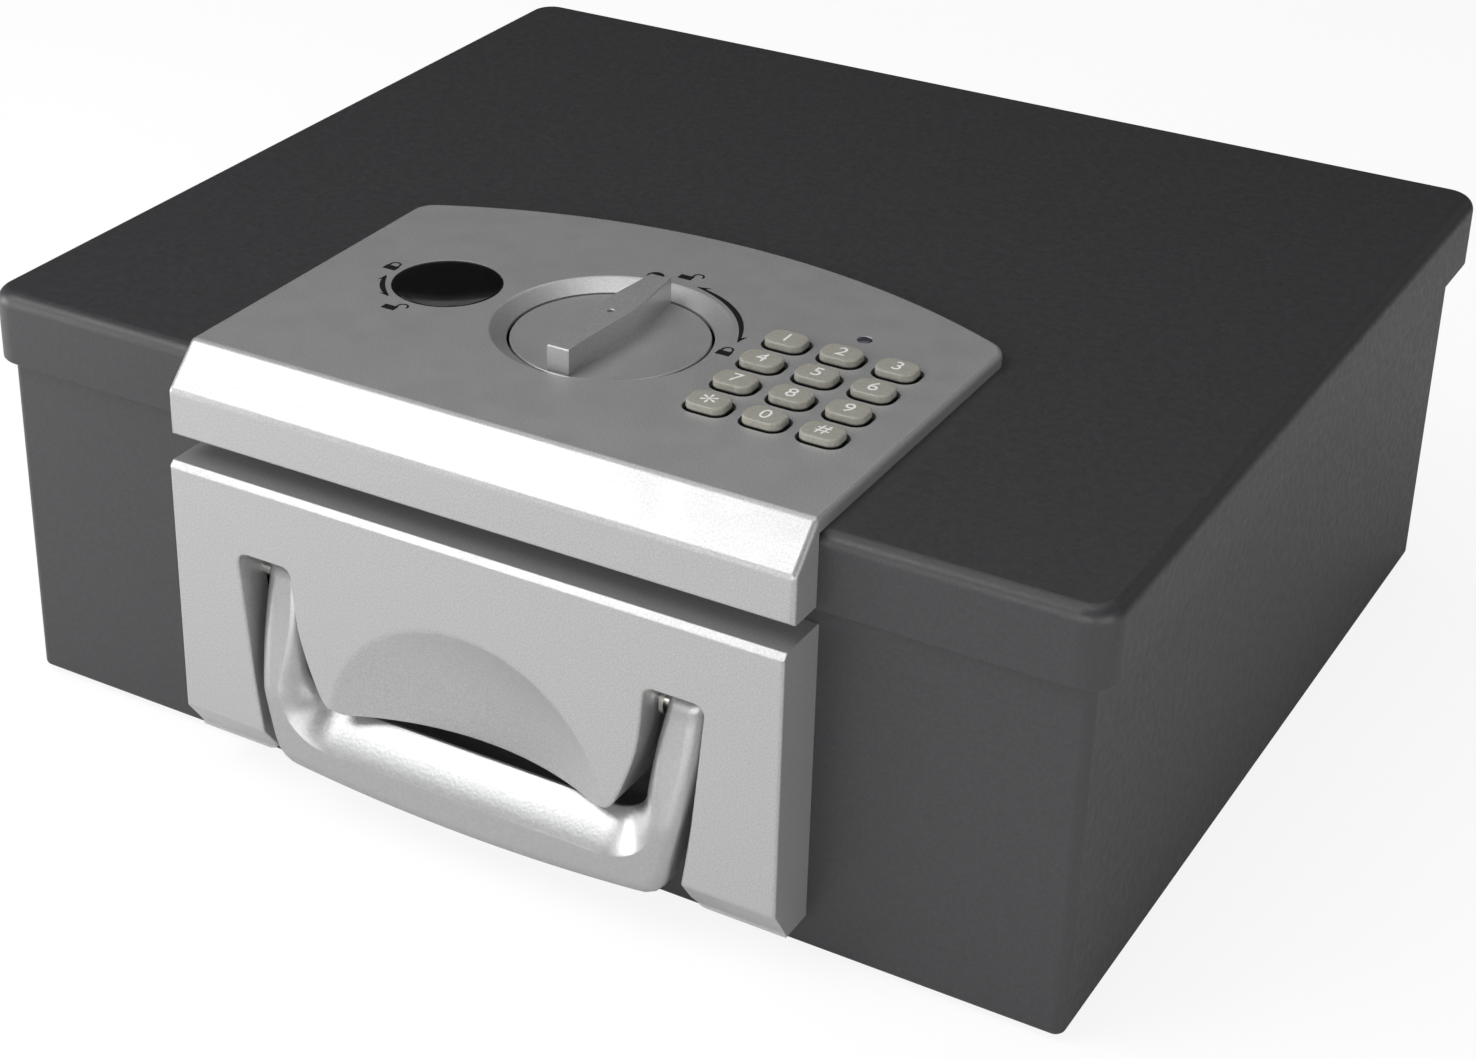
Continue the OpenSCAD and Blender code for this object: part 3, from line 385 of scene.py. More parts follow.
lid_top = high.z
panel_low, panel_high = box_mm("lock_panel")
a, b = box_mm("knob")
knob_mid = (a + b) / 2
a, b = box_mm("lock_sleeve")
key_mid = (a + b) / 2
board_low, board_high = box_mm("keypad_board")
window_low = Vector((board_low.x + WINDOW_SIDE, board_low.y + WINDOW_FRONT, 0))
window_high = Vector((board_high.x - WINDOW_SIDE, board_high.y - WINDOW_BACK, 0))
window = [rounded_rectangle(window_low, window_high, 0, 0.5, z, 3) for z in (lid_top - 4, lid_top + 2)]
cut(lid, drill(KNOB_HOLE_R, knob_mid, lid_top - 4, lid_top + 2),
    drill(SLEEVE_HOLE_R, key_mid, lid_top - 4, lid_top + 2), skin(window))
dress(lid, "lid", powder_coat, ["lid_shell"])

# Lock panel: an injection-moulded ABS cover, screwed to the lid from below, whose nose hangs over
# the lid's front. It is sprayed in satin silver; its edges are eased, its back edge is an arch.
ARCH_R = 202.0
PANEL_CORNER = 8.0
NOSE_SLOPE = 11.0
DISH_R, DISH_FLOOR_R, DISH_DEPTH = 33.0, 28.4, 3.0
SEAT_R, SEAT_BORE_R, SEAT_DEPTH = 15.7, 9.6, 3.0
SEAT_FLARE = 0.35
KEY_GAP, KEY_CORNER = 0.95, 3.2
PANEL_WALL = 2.0

# Two-coat automotive-style silver on plastic: fine aluminium flake under a satin clear coat. It
# looks metallic at a low angle and even grey face on; flakes are drawn 0.5 mm apart to show.
silver_paint = surface("silver_flake_paint_on_abs", Metallic=0.55, Roughness=0.38, Coat_Weight=0.15,
                       Coat_Roughness=0.3)
grain(silver_paint, 0.5, 1.0, colours=("aaaaab", "bcbcbc"))
grain(silver_paint, 9.0, roughness=(0.36, 0.41))
grain(silver_paint, 1.2, 3.0, depth_mm=0.012, strength=0.5)

nose_y, lid_y = panel_low.y, box_mm("lid_shell")[0].y
panel_top, half_w = panel_high.z, panel_high.x
arch_y = panel_high.y - ARCH_R
corner_x = half_w - PANEL_CORNER
corner_y = arch_y + math.sqrt((ARCH_R - PANEL_CORNER) ** 2 - corner_x ** 2)
meet_angle = math.degrees(math.atan2(corner_y - arch_y, corner_x))
outline = [(-half_w, nose_y), (half_w, nose_y)]
outline += arc(corner_x, corner_y, PANEL_CORNER, 0, meet_angle, 8)
outline += arc(0, arch_y, ARCH_R, meet_angle, 180 - meet_angle, 56)[1:-1]
outline += arc(-corner_x, corner_y, PANEL_CORNER, 180 - meet_angle, 180, 8)
slope_y, slope_z = nose_y + NOSE_SLOPE, panel_top - NOSE_SLOPE


def prism(points, x0, x1):
    """A solid with an outline of Y and Z between two values of X."""
    return skin([[(x, y, z) for y, z in points] for x in (x0, x1)])


panel = make("lock_panel_cover", skin([[(x, y, z) for x, y in outline] for z in (panel_low.z, panel_top)]))
over_y, under_z = panel_high.y + 1, panel_low.z - 1
over_lid = [(lid_y, under_z), (over_y, under_z), (over_y, lid_top), (lid_y, lid_top)]
slope = [(nose_y - 1, slope_z - 1), (slope_y + 1, panel_top + 1), (nose_y - 1, panel_top + 1)]
cut(panel, prism(over_lid, -half_w - 1, half_w + 1), prism(slope, -half_w - 1, half_w + 1))


def panel_share(p, q):
    """The top's rim and the ends are the roundest, then the nose's creases and its lower lip."""
    middle = (p + q) / 2
    if (p - q).xy.length < 0.01:
        return 0.8 if middle.y < nose_y + 0.01 else 0.0
    if middle.y < nose_y + 0.01 or abs(p.y - slope_y) + abs(q.y - slope_y) < 0.01:
        return 0.55
    return 0.8 if max(p.z, q.z) > lid_top + 0.01 else 0.0


soften(panel, 2.0, panel_share)

top = panel_top
dish = turned([
    (DISH_FLOOR_R, lid_top - 3), (DISH_FLOOR_R, top - DISH_DEPTH), (DISH_R - 0.6, top - 0.45),
    (DISH_R, top - 0.12), (DISH_R + 0.5, top), (DISH_R + 0.5, top + 2),
], knob_mid.x, knob_mid.y, 128)
seat = turned([
    (SEAT_BORE_R, lid_top - 3), (SEAT_BORE_R, top - SEAT_DEPTH), (SEAT_R, top - SEAT_DEPTH),
    (SEAT_R, top - SEAT_FLARE), (SEAT_R + 0.1, top - 0.1), (SEAT_R + SEAT_FLARE, top),
    (SEAT_R + SEAT_FLARE, top + 2),
], key_mid.x, key_mid.y, 96)

key_nodes = [f"key_{n}" for n in ("1", "2", "3", "4", "5", "6", "7", "8", "9", "star", "0", "hash")]
key_boxes = [box_mm(n) for n in key_nodes]
key_size = key_boxes[0][1] - key_boxes[0][0]
key_cutters = []
for a, b in key_boxes:
    levels = [(0.0, lid_top - 3), (0.0, top - 0.4), (0.1, top - 0.12), (0.4, top), (0.4, top + 2)]
    rings = [rounded_rectangle(a, b, -KEY_GAP - g, KEY_CORNER + KEY_GAP + g, z) for g, z in levels]
    key_cutters.append(skin(rings))
lamp_low, lamp_high = box_mm("lamp")
lamp_mid = (lamp_low + lamp_high) / 2
lamp_r = (lamp_high.x - lamp_low.x) / 2
lamp_hole = turned([
    (lamp_r, lid_top - 3), (lamp_r, top - 0.25), (lamp_r + 0.25, top), (lamp_r + 0.25, top + 2),
], lamp_mid.x, lamp_mid.y, 32)
# The moulding is 2 mm thick over the keypad, so the gaps beside the keys look down into the dark
hollow = [rounded_rectangle(window_low, window_high, -2, 2, z, 3) for z in (lid_top - 1, top - PANEL_WALL)]
cut(panel, dish, seat, lamp_hole, *key_cutters, skin(hollow))
dress(panel, "lid", silver_paint, ["lock_panel"], angle=35)

# Printed marks: screen-printed black ink on the panel. Padlocks and arrows show which way the knob
# and the key turn, and a dot shows where the knob points when the box is unlocked.
INK_T, INK_BITE = 0.04, 0.02
DOT_R = 2.5
# Screen ink: a dead, matt black
black_ink = surface("screen_print_black", Roughness=0.7, Specular_IOR_Level=0.25)
grain(black_ink, 0.7, colours=("070708", "101011"))


def stamp(bm, outline):
    """Adds a film of ink with that outline on the panel's top."""
    low_ring, high_ring = [[bm.verts.new((x, y, z)) for x, y in outline] for z in (top - INK_BITE, top + INK_T)]
    for i in range(len(outline)):
        j = (i + 1) % len(outline)
        bm.faces.new((low_ring[i], low_ring[j], high_ring[j], high_ring[i]))
    bm.faces.new(low_ring[::-1])
    bm.faces.new(high_ring)


def ribbon(points, width):
    """The outline of a line of that width through points; width may change along it."""
    left, right = [], []
    for i, (x, y) in enumerate(points):
        x0, y0 = points[max(i - 1, 0)]
        x1, y1 = points[min(i + 1, len(points) - 1)]
        length = math.hypot(x1 - x0, y1 - y0)
        w = width(i / (len(points) - 1)) / 2 if callable(width) else width / 2
        nx, ny = -(y1 - y0) / length * w, (x1 - x0) / length * w
        left.append((x + nx, y + ny))
        right.append((x - nx, y - ny))
    return left + right[::-1]


def padlock(bm, x, y, is_open):
    """A small padlock sign centred on its body."""
    stamp(bm, [(x - 2.1, y - 1.3), (x + 2.1, y - 1.3), (x + 2.1, y + 1.3), (x - 2.1, y + 1.3)])
    swing = 2.9 if is_open else 0.0
    loop = arc(x + swing, y + 2.2, 1.45, 0, 180, 12)
    legs = [(x + swing + 1.45, y + (1.6 if is_open else 1.3))] + loop + [(x + swing - 1.45, y + 1.25)]
    stamp(bm, ribbon(legs, 0.6))


def arrow(bm, cx, cy, r, start, end, barb, line):
    """A bent arrow, thinner towards both tips, with a barb on the outer side of each."""
    bent = arc(cx, cy, r, start, end, 24)
    stamp(bm, ribbon(bent, lambda t: line * (0.15 + 0.85 * math.sin(math.pi * t) ** 0.6)))
    turn = 1 if end > start else -1
    back = math.degrees(barb / r)
    for tip, way in ((start, turn), (end, -turn)):
        spike = [(r, tip), (r + barb * 0.55, tip + way * back), (r + 0.15, tip + way * back * 0.75)]
        stamp(bm, [(cx + q * math.cos(math.radians(t)), cy + q * math.sin(math.radians(t)))
                   for q, t in (spike if way < 0 else spike[::-1])])


marks = bmesh.new()
kx, ky = knob_mid.x, knob_mid.y
lx, ly = key_mid.x, key_mid.y
stamp(marks, arc(kx - 6.4, ky + 35.0, DOT_R, 0, 345, 23))
padlock(marks, kx + 1.4, ky + 38.6, True)
arrow(marks, kx, ky, 35.4, 78, 15, 3.6, 1.7)
padlock(marks, kx + 34.2, ky + 1.6, False)
padlock(marks, lx - 19.6, ly + 0.4, False)
arrow(marks, lx, ly, 18.2, 195, 240, 3.0, 1.6)
padlock(marks, lx - 4.6, ly - 21.6, True)
bmesh.ops.recalc_face_normals(marks, faces=marks.faces)
dress(make("panel_marks", marks), "lid", black_ink)

# Knob: moulded ABS disc and grip bar in one piece, sprayed like the panel and pressed on a steel
# spindle. The bar has slim ends, a broad middle and a dimple on the spindle's axis.
KNOB_R, KNOB_T, KNOB_EDGE = 27.6, 4.0, 0.5
KNOB_BORE_R = 3.0
DIMPLE_R = 0.9
BAR_HALF = 27.0
# Half widths of the bar at distances from the middle, from its front end to its back end
BAR_WIDTHS = [(-27.0, 3.4), (-21.0, 3.4), (-14.0, 3.8), (-7.0, 4.4), (0.0, 5.0), (4.0, 5.2), (8.0, 5.1),
              (15.0, 4.5), (21.0, 3.8), (27.0, 3.3)]
knob_low, knob_high = box_mm("knob")
disc_top = panel_top - DISH_DEPTH
disc_low = disc_top - KNOB_T
disc = [(KNOB_BORE_R, knob_low.z), (KNOB_BORE_R, disc_low), (KNOB_R - KNOB_EDGE, disc_low)]
disc += [(KNOB_R, disc_low + KNOB_EDGE)]
disc += arc(KNOB_R - KNOB_EDGE, disc_top - KNOB_EDGE, KNOB_EDGE, 0, 90, 4) + [(0.4, disc_top)]
knob = make("knob_disc", turned(disc, kx, ky, 128))


def bar_ring(z, spread_mm):
    """The grip bar's outline at one height: slim ends and a broad middle."""
    right = []
    for i in range(37):
        y = -BAR_HALF + 2 * BAR_HALF * i / 36
        (y0, w0), (y1, w1) = next(pair for pair in zip(BAR_WIDTHS, BAR_WIDTHS[1:]) if y <= pair[1][0] + 0.001)
        t = (y - y0) / (y1 - y0)
        right.append((w0 + (w1 - w0) * t + spread_mm * math.cos(math.pi * y / BAR_HALF / 2) ** 2, y))
    return [(kx + x, ky + y, z) for x, y in right] + [(kx - x, ky + y, z) for x, y in reversed(right)]


bar_top = knob_high.z
bar_levels = [(disc_top - 1.5, 1.0), (disc_top + 0.1, 0.9), (disc_top + 0.9, 0.45), (bar_top - 0.5, 0.0),
              (bar_top, 0.0)]
bar = make("knob_bar", skin([bar_ring(z, s) for z, s in bar_levels]))
soften(bar, 0.45, lambda p, q: 1.0 if min(p.z, q.z) > bar_top - 0.01 else 0.0)
join = knob.modifiers.new("one_moulding", "BOOLEAN")
join.operation, join.solver, join.object = "UNION", "EXACT", bar
settle(knob)
bpy.data.objects.remove(bar)
dimple = turned([
    (0.05, bar_top - 2.2), (DIMPLE_R, bar_top - 1.8), (DIMPLE_R, bar_top - 0.2), (DIMPLE_R + 0.2, bar_top),
    (DIMPLE_R + 0.2, bar_top + 0.5),
], kx, ky, 24)
cut(knob, dimple)
dress(knob, "knob_group", silver_paint, ["knob"], angle=30)

# Key cover: a round push-in cap of glossy black ABS over the key lock, whose flat middle falls away
# in a soft dome to the rim.
COVER_FLAT_R = 5.0
# Gloss-moulded ABS: a deep black with sharp, slightly wavy reflections
gloss_black = surface("gloss_black_abs", Base_Color=linear("0e0e0f"), Roughness=0.16)
grain(gloss_black, 5.0, 3.0, roughness=(0.13, 0.22))
grain(gloss_black, 4.0, depth_mm=0.01)
low, high = box_mm("key_cover")
r = (high.x - low.x) / 2
rim_z = top + 0.05
cap = [(r - 0.3, low.z), (r, low.z + 0.3), (r, rim_z - 0.2), (r - 0.08, rim_z)]
for i in range(1, 17):
    share = i / 16
    q = r - (r - COVER_FLAT_R) * share
    cap.append((q, high.z - (high.z - rim_z) * (1 - share) ** 3))
cap.append((0.4, high.z))
cover = make("key_cover_cap", turned(cap, key_mid.x, key_mid.y, 96))
dress(cover, "key_lock_cover", gloss_black, ["key_cover"], angle=30)

# Key lock: a turned brass plug with a keyway in a nickel-plated steel sleeve, pressed into the
# chassis. The handle's pins are plated alike.
# Nickel plate: a warm white, nearly a mirror, hazed by handling
nickel = surface("nickel_plate", Metallic=1.0, Roughness=0.14)
grain(nickel, 3.0, 3.0, colours=("c2c1bb", "d6d5cf"), roughness=(0.1, 0.22))
# Turned brass: a soft yellow shine that has browned in patches
brass = surface("turned_brass", Metallic=1.0, Roughness=0.25)
grain(brass, 4.0, 4.0, colours=("b08d4a", "cfae66"), roughness=(0.2, 0.36))
finish_node(nickel, "lock_sleeve", "handle_pin_left", "handle_pin_right")
finish_node(brass, "lock_plug")

# Keys: buttons of warm grey silicone rubber, one mat behind the panel in the real box, with signs
# printed in white on their tops. Painted shade darkens their feet, standing in for the shadow in the gaps
# beside them.
KEY_EDGE = 0.55
LEGEND_H, STAR_H, LEGEND_T = 6.6, 11.0, 0.03
# Moulded silicone: satin, faintly see-through at its edges, with a dry skin
key_rubber = surface("silicone_rubber_grey", Roughness=0.5, Specular_IOR_Level=0.4, Subsurface_Weight=0.05,
                     Subsurface_Radius=(0.001, 0.001, 0.0008), Subsurface_Scale=1.0)
grain(key_rubber, 0.9, 3.0, colours=("94928a", "a3a196"), depth_mm=0.02, strength=0.6)
tree, shader, where = insides(key_rubber)
height = add(tree, "ShaderNodeSeparateXYZ", {"Vector": where}).outputs["Z"]
# Painted shade: the rubber is near black up to just below the panel's top and turns to its grey just above it
foot_shade_fade = add(tree, "ShaderNodeMapRange", {
    "Value": height, "From Min": (top - 0.1) * MM, "From Max": (top + 0.35) * MM})
grey = shader.inputs["Base Color"].links[0].from_socket
painted_foot_shade = add(tree, "ShaderNodeMix", {"Factor": foot_shade_fade, "A": linear("0c0c0b"), "B": grey}, data_type="RGBA")
tree.links.new(painted_foot_shade.outputs["Result"], shader.inputs["Base Color"])
# Pad-printed ink: flat white
white_ink = surface("pad_print_white", Roughness=0.5)
grain(white_ink, 0.6, colours=("e4e4e0", "f4f4f1"))

for name, (a, b), sign in zip(key_nodes, key_boxes, "123456789*0#"):
    button_body = "button_" + name.split("_")[1]
    cap = button(f"{name}_cap", [(a + b) / 2], key_size, KEY_CORNER, KEY_EDGE, key_rubber)
    dress(cap, button_body, key_rubber, [name], angle=60)
    text = bpy.data.curves.new(f"{name}_sign", "FONT")
    height = STAR_H if sign == "*" else LEGEND_H
    text.body, text.size, text.extrude = sign, height * MM, LEGEND_T * MM
    legend = put(f"{name}_sign", text)
    graph = bpy.context.evaluated_depsgraph_get()
    mesh = bpy.data.meshes.new_from_object(legend.evaluated_get(graph), depsgraph=graph)
    bpy.data.objects.remove(legend)
    bm = bmesh.new()
    bm.from_mesh(mesh)
    bmesh.ops.remove_doubles(bm, verts=bm.verts, dist=0.001 * MM)
    bm.to_mesh(mesh)
    bm.free()
    xs, ys = [v.co.x for v in mesh.vertices], [v.co.y for v in mesh.vertices]
    centre = Vector(((min(xs) + max(xs)) / 2, (min(ys) + max(ys)) / 2, 0))
    spot = Vector(((a.x + b.x) / 2, (a.y + b.y) / 2 + 0.2, b.z)) * MM
    mesh.transform(Matrix.Translation(spot - centre))
    legend = put(f"{name}_sign", mesh)
    dress(legend, button_body, white_ink)

# Signal lamp: a smoked polycarbonate lens over a small diode, moulded as a low dome and pushed in
# from below. While the diode is off it looks blue-black and glossy.
lens = surface("smoked_polycarbonate", Roughness=0.12)
grain(lens, 1.0, colours=("34343c", "45454d"))
dome = [(lamp_r, lamp_low.z), (lamp_r, top - 0.1), (lamp_r * 0.9, top + 0.06), (lamp_r * 0.6, top + 0.16),
        (0.1, lamp_high.z)]
lamp = make("lamp_lens", turned(dome, lamp_mid.x, lamp_mid.y, 32))
dress(lamp, "lid", lens, ["lamp"])

# Lock works in the inner case: a zinc-plated chassis, crank, bolt and plunger, a taped solenoid
# coil, a lacquered circuit board, and four AA cells in printed sleeves.
finish_node(zinc, "crank", "bolt", "plunger", "lock_chassis")
# Solder lacquer: glossy dark green, with paler tracks drawn 4 mm apart
lacquer = surface("solder_lacquer", Roughness=0.3)
tree, shader, where = insides(lacquer)
tracks = add(tree, "ShaderNodeTexBrick", {
    "Vector": where, "Scale": 1 / (4.0 * MM), "Mortar Size": 0.08, "Color1": linear("12301f"),
    "Color2": linear("153824"), "Mortar": linear("2c5a3c")})
tree.links.new(tracks.outputs["Color"], shader.inputs["Base Color"])
finish_node(lacquer, "keypad_board")
# Polyester tape: amber brown over the wire's turns, which are drawn coarse to show
coil_tape = surface("polyester_coil_tape", Roughness=0.35)
tree, _, where = insides(coil_tape)
turns = add(tree, "ShaderNodeTexWave", {"Vector": where, "Scale": 1 / (3.0 * MM), "Distortion": 0.3},
            bands_direction="X")
vary(coil_tape, turns.outputs["Fac"], colours=("5c4e33", "7a6a45"), depth_mm=0.05)
finish_node(coil_tape, "solenoid")
# Printed film: a dark satin jacket with a copper band round one end of the cell
sleeve = surface("printed_cell_sleeve", Metallic=0.3, Roughness=0.3)
tree, _, where = insides(sleeve)
along = add(tree, "ShaderNodeSeparateXYZ", {"Vector": where}).outputs["Y"]
bay_low, bay_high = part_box("cell_1")
band = add(tree, "ShaderNodeMapRange", {"Value": along, "From Min": bay_low.y, "From Max": bay_high.y})
vary(sleeve, band.outputs["Result"], colours=("2f343a", "a9733c"), stops=(0.68, 0.70))
finish_node(sleeve, "cell_1", "cell_2", "cell_3", "cell_4")

# Inner case and battery cover: black ABS mouldings with a spark-eroded grain, about 0.7 mm, that
# leaves them dull and hides scratches.
grained_abs = surface("grained_black_abs", Roughness=0.55)
grain(grained_abs, 0.7, 4.0, colours=("161617", "202022"), depth_mm=0.06, strength=0.8)
finish_node(grained_abs, "lock_case", "battery_cover")

# Screws: pan-head thread-forming screws of zinc-plated steel with a cross recess. Four hold the
# handle plate from inside the body, and four hold the inner case to the lid.
screw_tree, given, result = node_tree("pan_head_screw", {
    "Head Radius": "NodeSocketFloat", "Head Height": "NodeSocketFloat", "Shank Radius": "NodeSocketFloat",
    "Shank Length": "NodeSocketFloat", "Tilt": "NodeSocketFloat", "Finish": "NodeSocketMaterial",
})
tree = screw_tree
head_r, head_h, shank_h = (given.outputs[n] for n in ("Head Radius", "Head Height", "Shank Length"))
crown_r = add(tree, "ShaderNodeMath", {0: head_r, 1: 0.8}, operation="MULTIPLY")
head = add(tree, "GeometryNodeMeshCone", {
    "Vertices": 32, "Radius Top": crown_r, "Radius Bottom": head_r, "Depth": head_h})
shank = add(tree, "GeometryNodeMeshCylinder", {
    "Vertices": 16, "Radius": given.outputs["Shank Radius"], "Depth": shank_h})
under = add(tree, "ShaderNodeMath", {0: shank_h, 1: -0.499}, operation="MULTIPLY")
down = add(tree, "ShaderNodeCombineXYZ", {"Z": under})
shank_at = add(tree, "GeometryNodeTransform", {"Geometry": shank, "Translation": down})
# The recess is two grooves that cross in the head's top, each a quarter of its radius wide
recess = add(tree, "GeometryNodeMeshBoolean", {"Mesh 1": head}, operation="DIFFERENCE", solver="EXACT")
over = add(tree, "ShaderNodeMath", {0: head_h, 1: 0.8}, operation="MULTIPLY")
up = add(tree, "ShaderNodeCombineXYZ", {"Z": over})
wide = add(tree, "ShaderNodeMath", {0: head_r, 1: 0.26}, operation="MULTIPLY")
long = add(tree, "ShaderNodeMath", {0: head_r, 1: 1.1}, operation="MULTIPLY")
for x, y in ((wide, long), (long, wide)):
    size = add(tree, "ShaderNodeCombineXYZ", {"X": x, "Y": y, "Z": head_h})
    cube = add(tree, "GeometryNodeMeshCube", {"Size": size})
    groove = add(tree, "GeometryNodeTransform", {"Geometry": cube, "Translation": up})
    tree.links.new(groove.outputs[0], recess.inputs["Mesh 2"])
whole = add(tree, "GeometryNodeJoinGeometry", {"Geometry": recess})
tree.links.new(shank_at.outputs[0], whole.inputs[0])
lean = add(tree, "ShaderNodeCombineXYZ", {"X": given.outputs["Tilt"]})
end_tree(tree, given, result, whole, lean)

# Head radius and height, shank radius and length, and where the head's middle lies in the screw's box
screw_kinds = [
    ("plate_screw", "box", -90, (4, 2.4, 1.75, 10.4), lambda mid, low, high: (mid.x, high.y - 1.2, mid.z)),
    ("case_screw", "lid", 180, (3, 2, 1.5, 24), lambda mid, low, high: (mid.x, mid.y, low.z + 1.0)),
]
for kind, held_by, tilt, sizes, head_at in screw_kinds:
    names = [f"{kind}_{i}" for i in range(1, 5)]
    values = dict(zip(("Head Radius", "Head Height", "Shank Radius", "Shank Length"), [v * MM for v in sizes]))
    values.update({"Tilt": math.radians(tilt), "Finish": zinc})
    heads = [head_at((low + high) / 2, low, high) for low, high in map(box_mm, names)]
    screws = grow(f"{kind}s_set", heads, screw_tree, values)
    dress(screws, held_by, zinc, names)

# Handle plate: a deep ABS moulding on the body's front, sprayed like the panel. Two legs stand
# beside a tongue with a scoop for the fingers, and the handle's arms lie in the slots between.
PLATE_FOOT_R = 4.0
SLOT_TOP_R = 3.0
SLOT_IN, SLOT_OUT, SLOT_TOP = 54.75, 72.25, 77.5
TONGUE_LOW, TONGUE_TIP = 35.6, 42.0
LEG_IN = 66.75
SLOPE_H, SLOPE_D = 10.5, 7.0
SCOOP_R, SCOOP_DEPTH, SCOOP_Z = 44.0, 11.5, 30.0
SCOOP_EASE = 1.2
TOP_CHAMFER = 1.7
SLOT_WALL, HOLLOW_LOW = 11.0, 44.0
plate_low, plate_high = box_mm("handle_plate")


def through(points, steps):
    """A smooth line through points (a Catmull-Rom spline)."""
    out = []
    for i in range(len(points) - 1):
        a, b, c, d = (Vector(points[max(min(k, len(points) - 1), 0)]) for k in range(i - 1, i + 3))
        for j in range(steps):
            t = j / steps
            bend = (2 * a - 5 * b + 4 * c - d) * t * t + (3 * b - a - 3 * c + d) * t ** 3
            out.append(tuple(0.5 * (2 * b + (c - a) * t + bend)))
    return out + [tuple(points[-1])]


front_y = plate_low.y
toe_y, toe_z = front_y + SLOPE_D, plate_low.z + SLOPE_H
foot_z, round_z = plate_low.z + PLATE_FOOT_R, SLOT_TOP - SLOT_TOP_R
half_outline = [(plate_high.x, plate_high.z), (plate_high.x, plate_low.z)]
half_outline += arc(LEG_IN + PLATE_FOOT_R, foot_z, PLATE_FOOT_R, 270, 180, 8)
half_outline += through([(LEG_IN, toe_z), (LEG_IN + 2.6, 42.0), (SLOT_OUT, round_z)], 6)
half_outline += arc(SLOT_OUT - SLOT_TOP_R, round_z, SLOT_TOP_R, 0, 90, 6)[1:]
half_outline += arc(SLOT_IN + SLOT_TOP_R, round_z, SLOT_TOP_R, 90, 180, 6)
half_outline += through([(SLOT_IN, round_z), (SLOT_IN - 2, 57.0), (SLOT_IN - 8, 40.2),
                         (TONGUE_TIP, TONGUE_LOW)], 5)[1:]
outline = half_outline + [(-x, z) for x, z in reversed(half_outline)]
plate = make("handle_plate_cover", skin([[(x, y, z) for x, z in outline] for y in (plate_low.y, plate_high.y)]))
# Sections of three cutters: the slope at the legs' feet, the chamfer on top and the tongue's lip
wedge = [(front_y - 2, plate_low.z - 2), (toe_y, plate_low.z - 2), (toe_y, plate_low.z + 1),
         (front_y, toe_z), (front_y - 2, toe_z)]
chamfer_z = plate_high.z - TOP_CHAMFER
edge = [(front_y - 1, chamfer_z), (front_y, chamfer_z), (front_y + TOP_CHAMFER, plate_high.z),
        (front_y + TOP_CHAMFER, plate_high.z + 1), (front_y - 1, plate_high.z + 1)]
cut(plate, *[prism(points, -plate_high.x - 2, plate_high.x + 2) for points in (wedge, edge)])
ease = [(front_y - 1, TONGUE_LOW - 1), (front_y + 2, TONGUE_LOW - 1), (front_y + 2, TONGUE_LOW),
        (front_y, TONGUE_LOW + 2), (front_y - 1, TONGUE_LOW + 2)]
cut(plate, prism(ease, -SLOT_IN + 3, SLOT_IN - 3))


def plate_share(p, q):
    """The sides are rounder than the slots and the legs' slopes; the chamfer and the lip stay crisp."""
    middle = (p + q) / 2
    at_front = max(p.y, q.y) < front_y + 0.01
    at_side = min(abs(p.x), abs(q.x)) > plate_high.x - 0.01
    if middle.z > chamfer_z - 0.01:
        return 0.25
    if at_front:
        level_lip = abs(p.z - q.z) < 0.01 and middle.z < SLOT_TOP - 1
        return 0.2 if level_lip and middle.z > TONGUE_LOW else 1.0 if at_side else 0.8
    on_slope = max(p.y, q.y) < toe_y + 0.01 and middle.z < toe_z
    return 0.5 if on_slope and abs(p.y - q.y) > 0.1 else 0.0


soften(plate, 1.0, plate_share)
ball_r = (SCOOP_R ** 2 + SCOOP_DEPTH ** 2) / (2 * SCOOP_DEPTH)


def bowl_depth(q):
    """Depth of the scoop's ball under the plate's face at a distance from its middle."""
    return math.sqrt(ball_r ** 2 - q ** 2) - ball_r + SCOOP_DEPTH


# The rim is a soft curve from the ball to the face
rim_in, rim_mid, rim_out = SCOOP_R - SCOOP_EASE, SCOOP_R, SCOOP_R + SCOOP_EASE
bowl = [(max(rim_in * i / 20, 0.3), bowl_depth(rim_in * i / 20)) for i in range(20)]
for i in range(9):
    t = i / 8
    q = rim_in * (1 - t) ** 2 + 2 * rim_mid * t * (1 - t) + rim_out * t * t
    bowl.append((q, bowl_depth(rim_in) * (1 - t) ** 2))
bowl.append((rim_out, -4.0))
scoop = turned(bowl, steps=160)
scoop.transform(Matrix.Translation((0, front_y, SCOOP_Z)) @ Matrix.Rotation(math.radians(-90), 4, "X"))
# The moulding is hollow behind the slots' walls, so each slot looks into the dark above the handle
caves = []
for s in (-1, 1):
    x0, x1 = sorted((s * (SLOT_IN - 4), s * (SLOT_OUT + 9)))
    y0, y1 = front_y + SLOT_WALL, plate_high.y + 1
    levels = (HOLLOW_LOW, SLOT_TOP + 6)
    caves.append(skin([[(x0, y0, z), (x1, y0, z), (x1, y1, z), (x0, y1, z)] for z in levels]))
cut(plate, scoop, *caves)
dress(plate, "box", silver_paint, ["handle_plate"], angle=35)

# Handle: a die-cast aluminium bail in silver paint that hangs on two pins in the plate. Its grip
# has a full, round shoulder above a flat face, and the sand-fine cast grain shows in highlights.
ARM_OUT = 68.45
ARM_W = 11.0
ARM_LEAN = 8.0
SIDE_R, SIDE_TOP = 155.0, 64.0
GRIP_TOP = 33.5
INNER_R, OUTER_R, BOW_R = 12.0, 8.0, 520.0
ARM_END_R = 5.7
GRIP_D = 12.0
handle_low, handle_high = box_mm("handle")
pin_low, pin_high = box_mm("handle_pin_left")
pivot = (pin_low + pin_high) / 2
front_grip = handle_low.y
back_grip = front_grip + GRIP_D
mid_grip = (front_grip + back_grip) / 2
lean = math.tan(math.radians(ARM_LEAN))


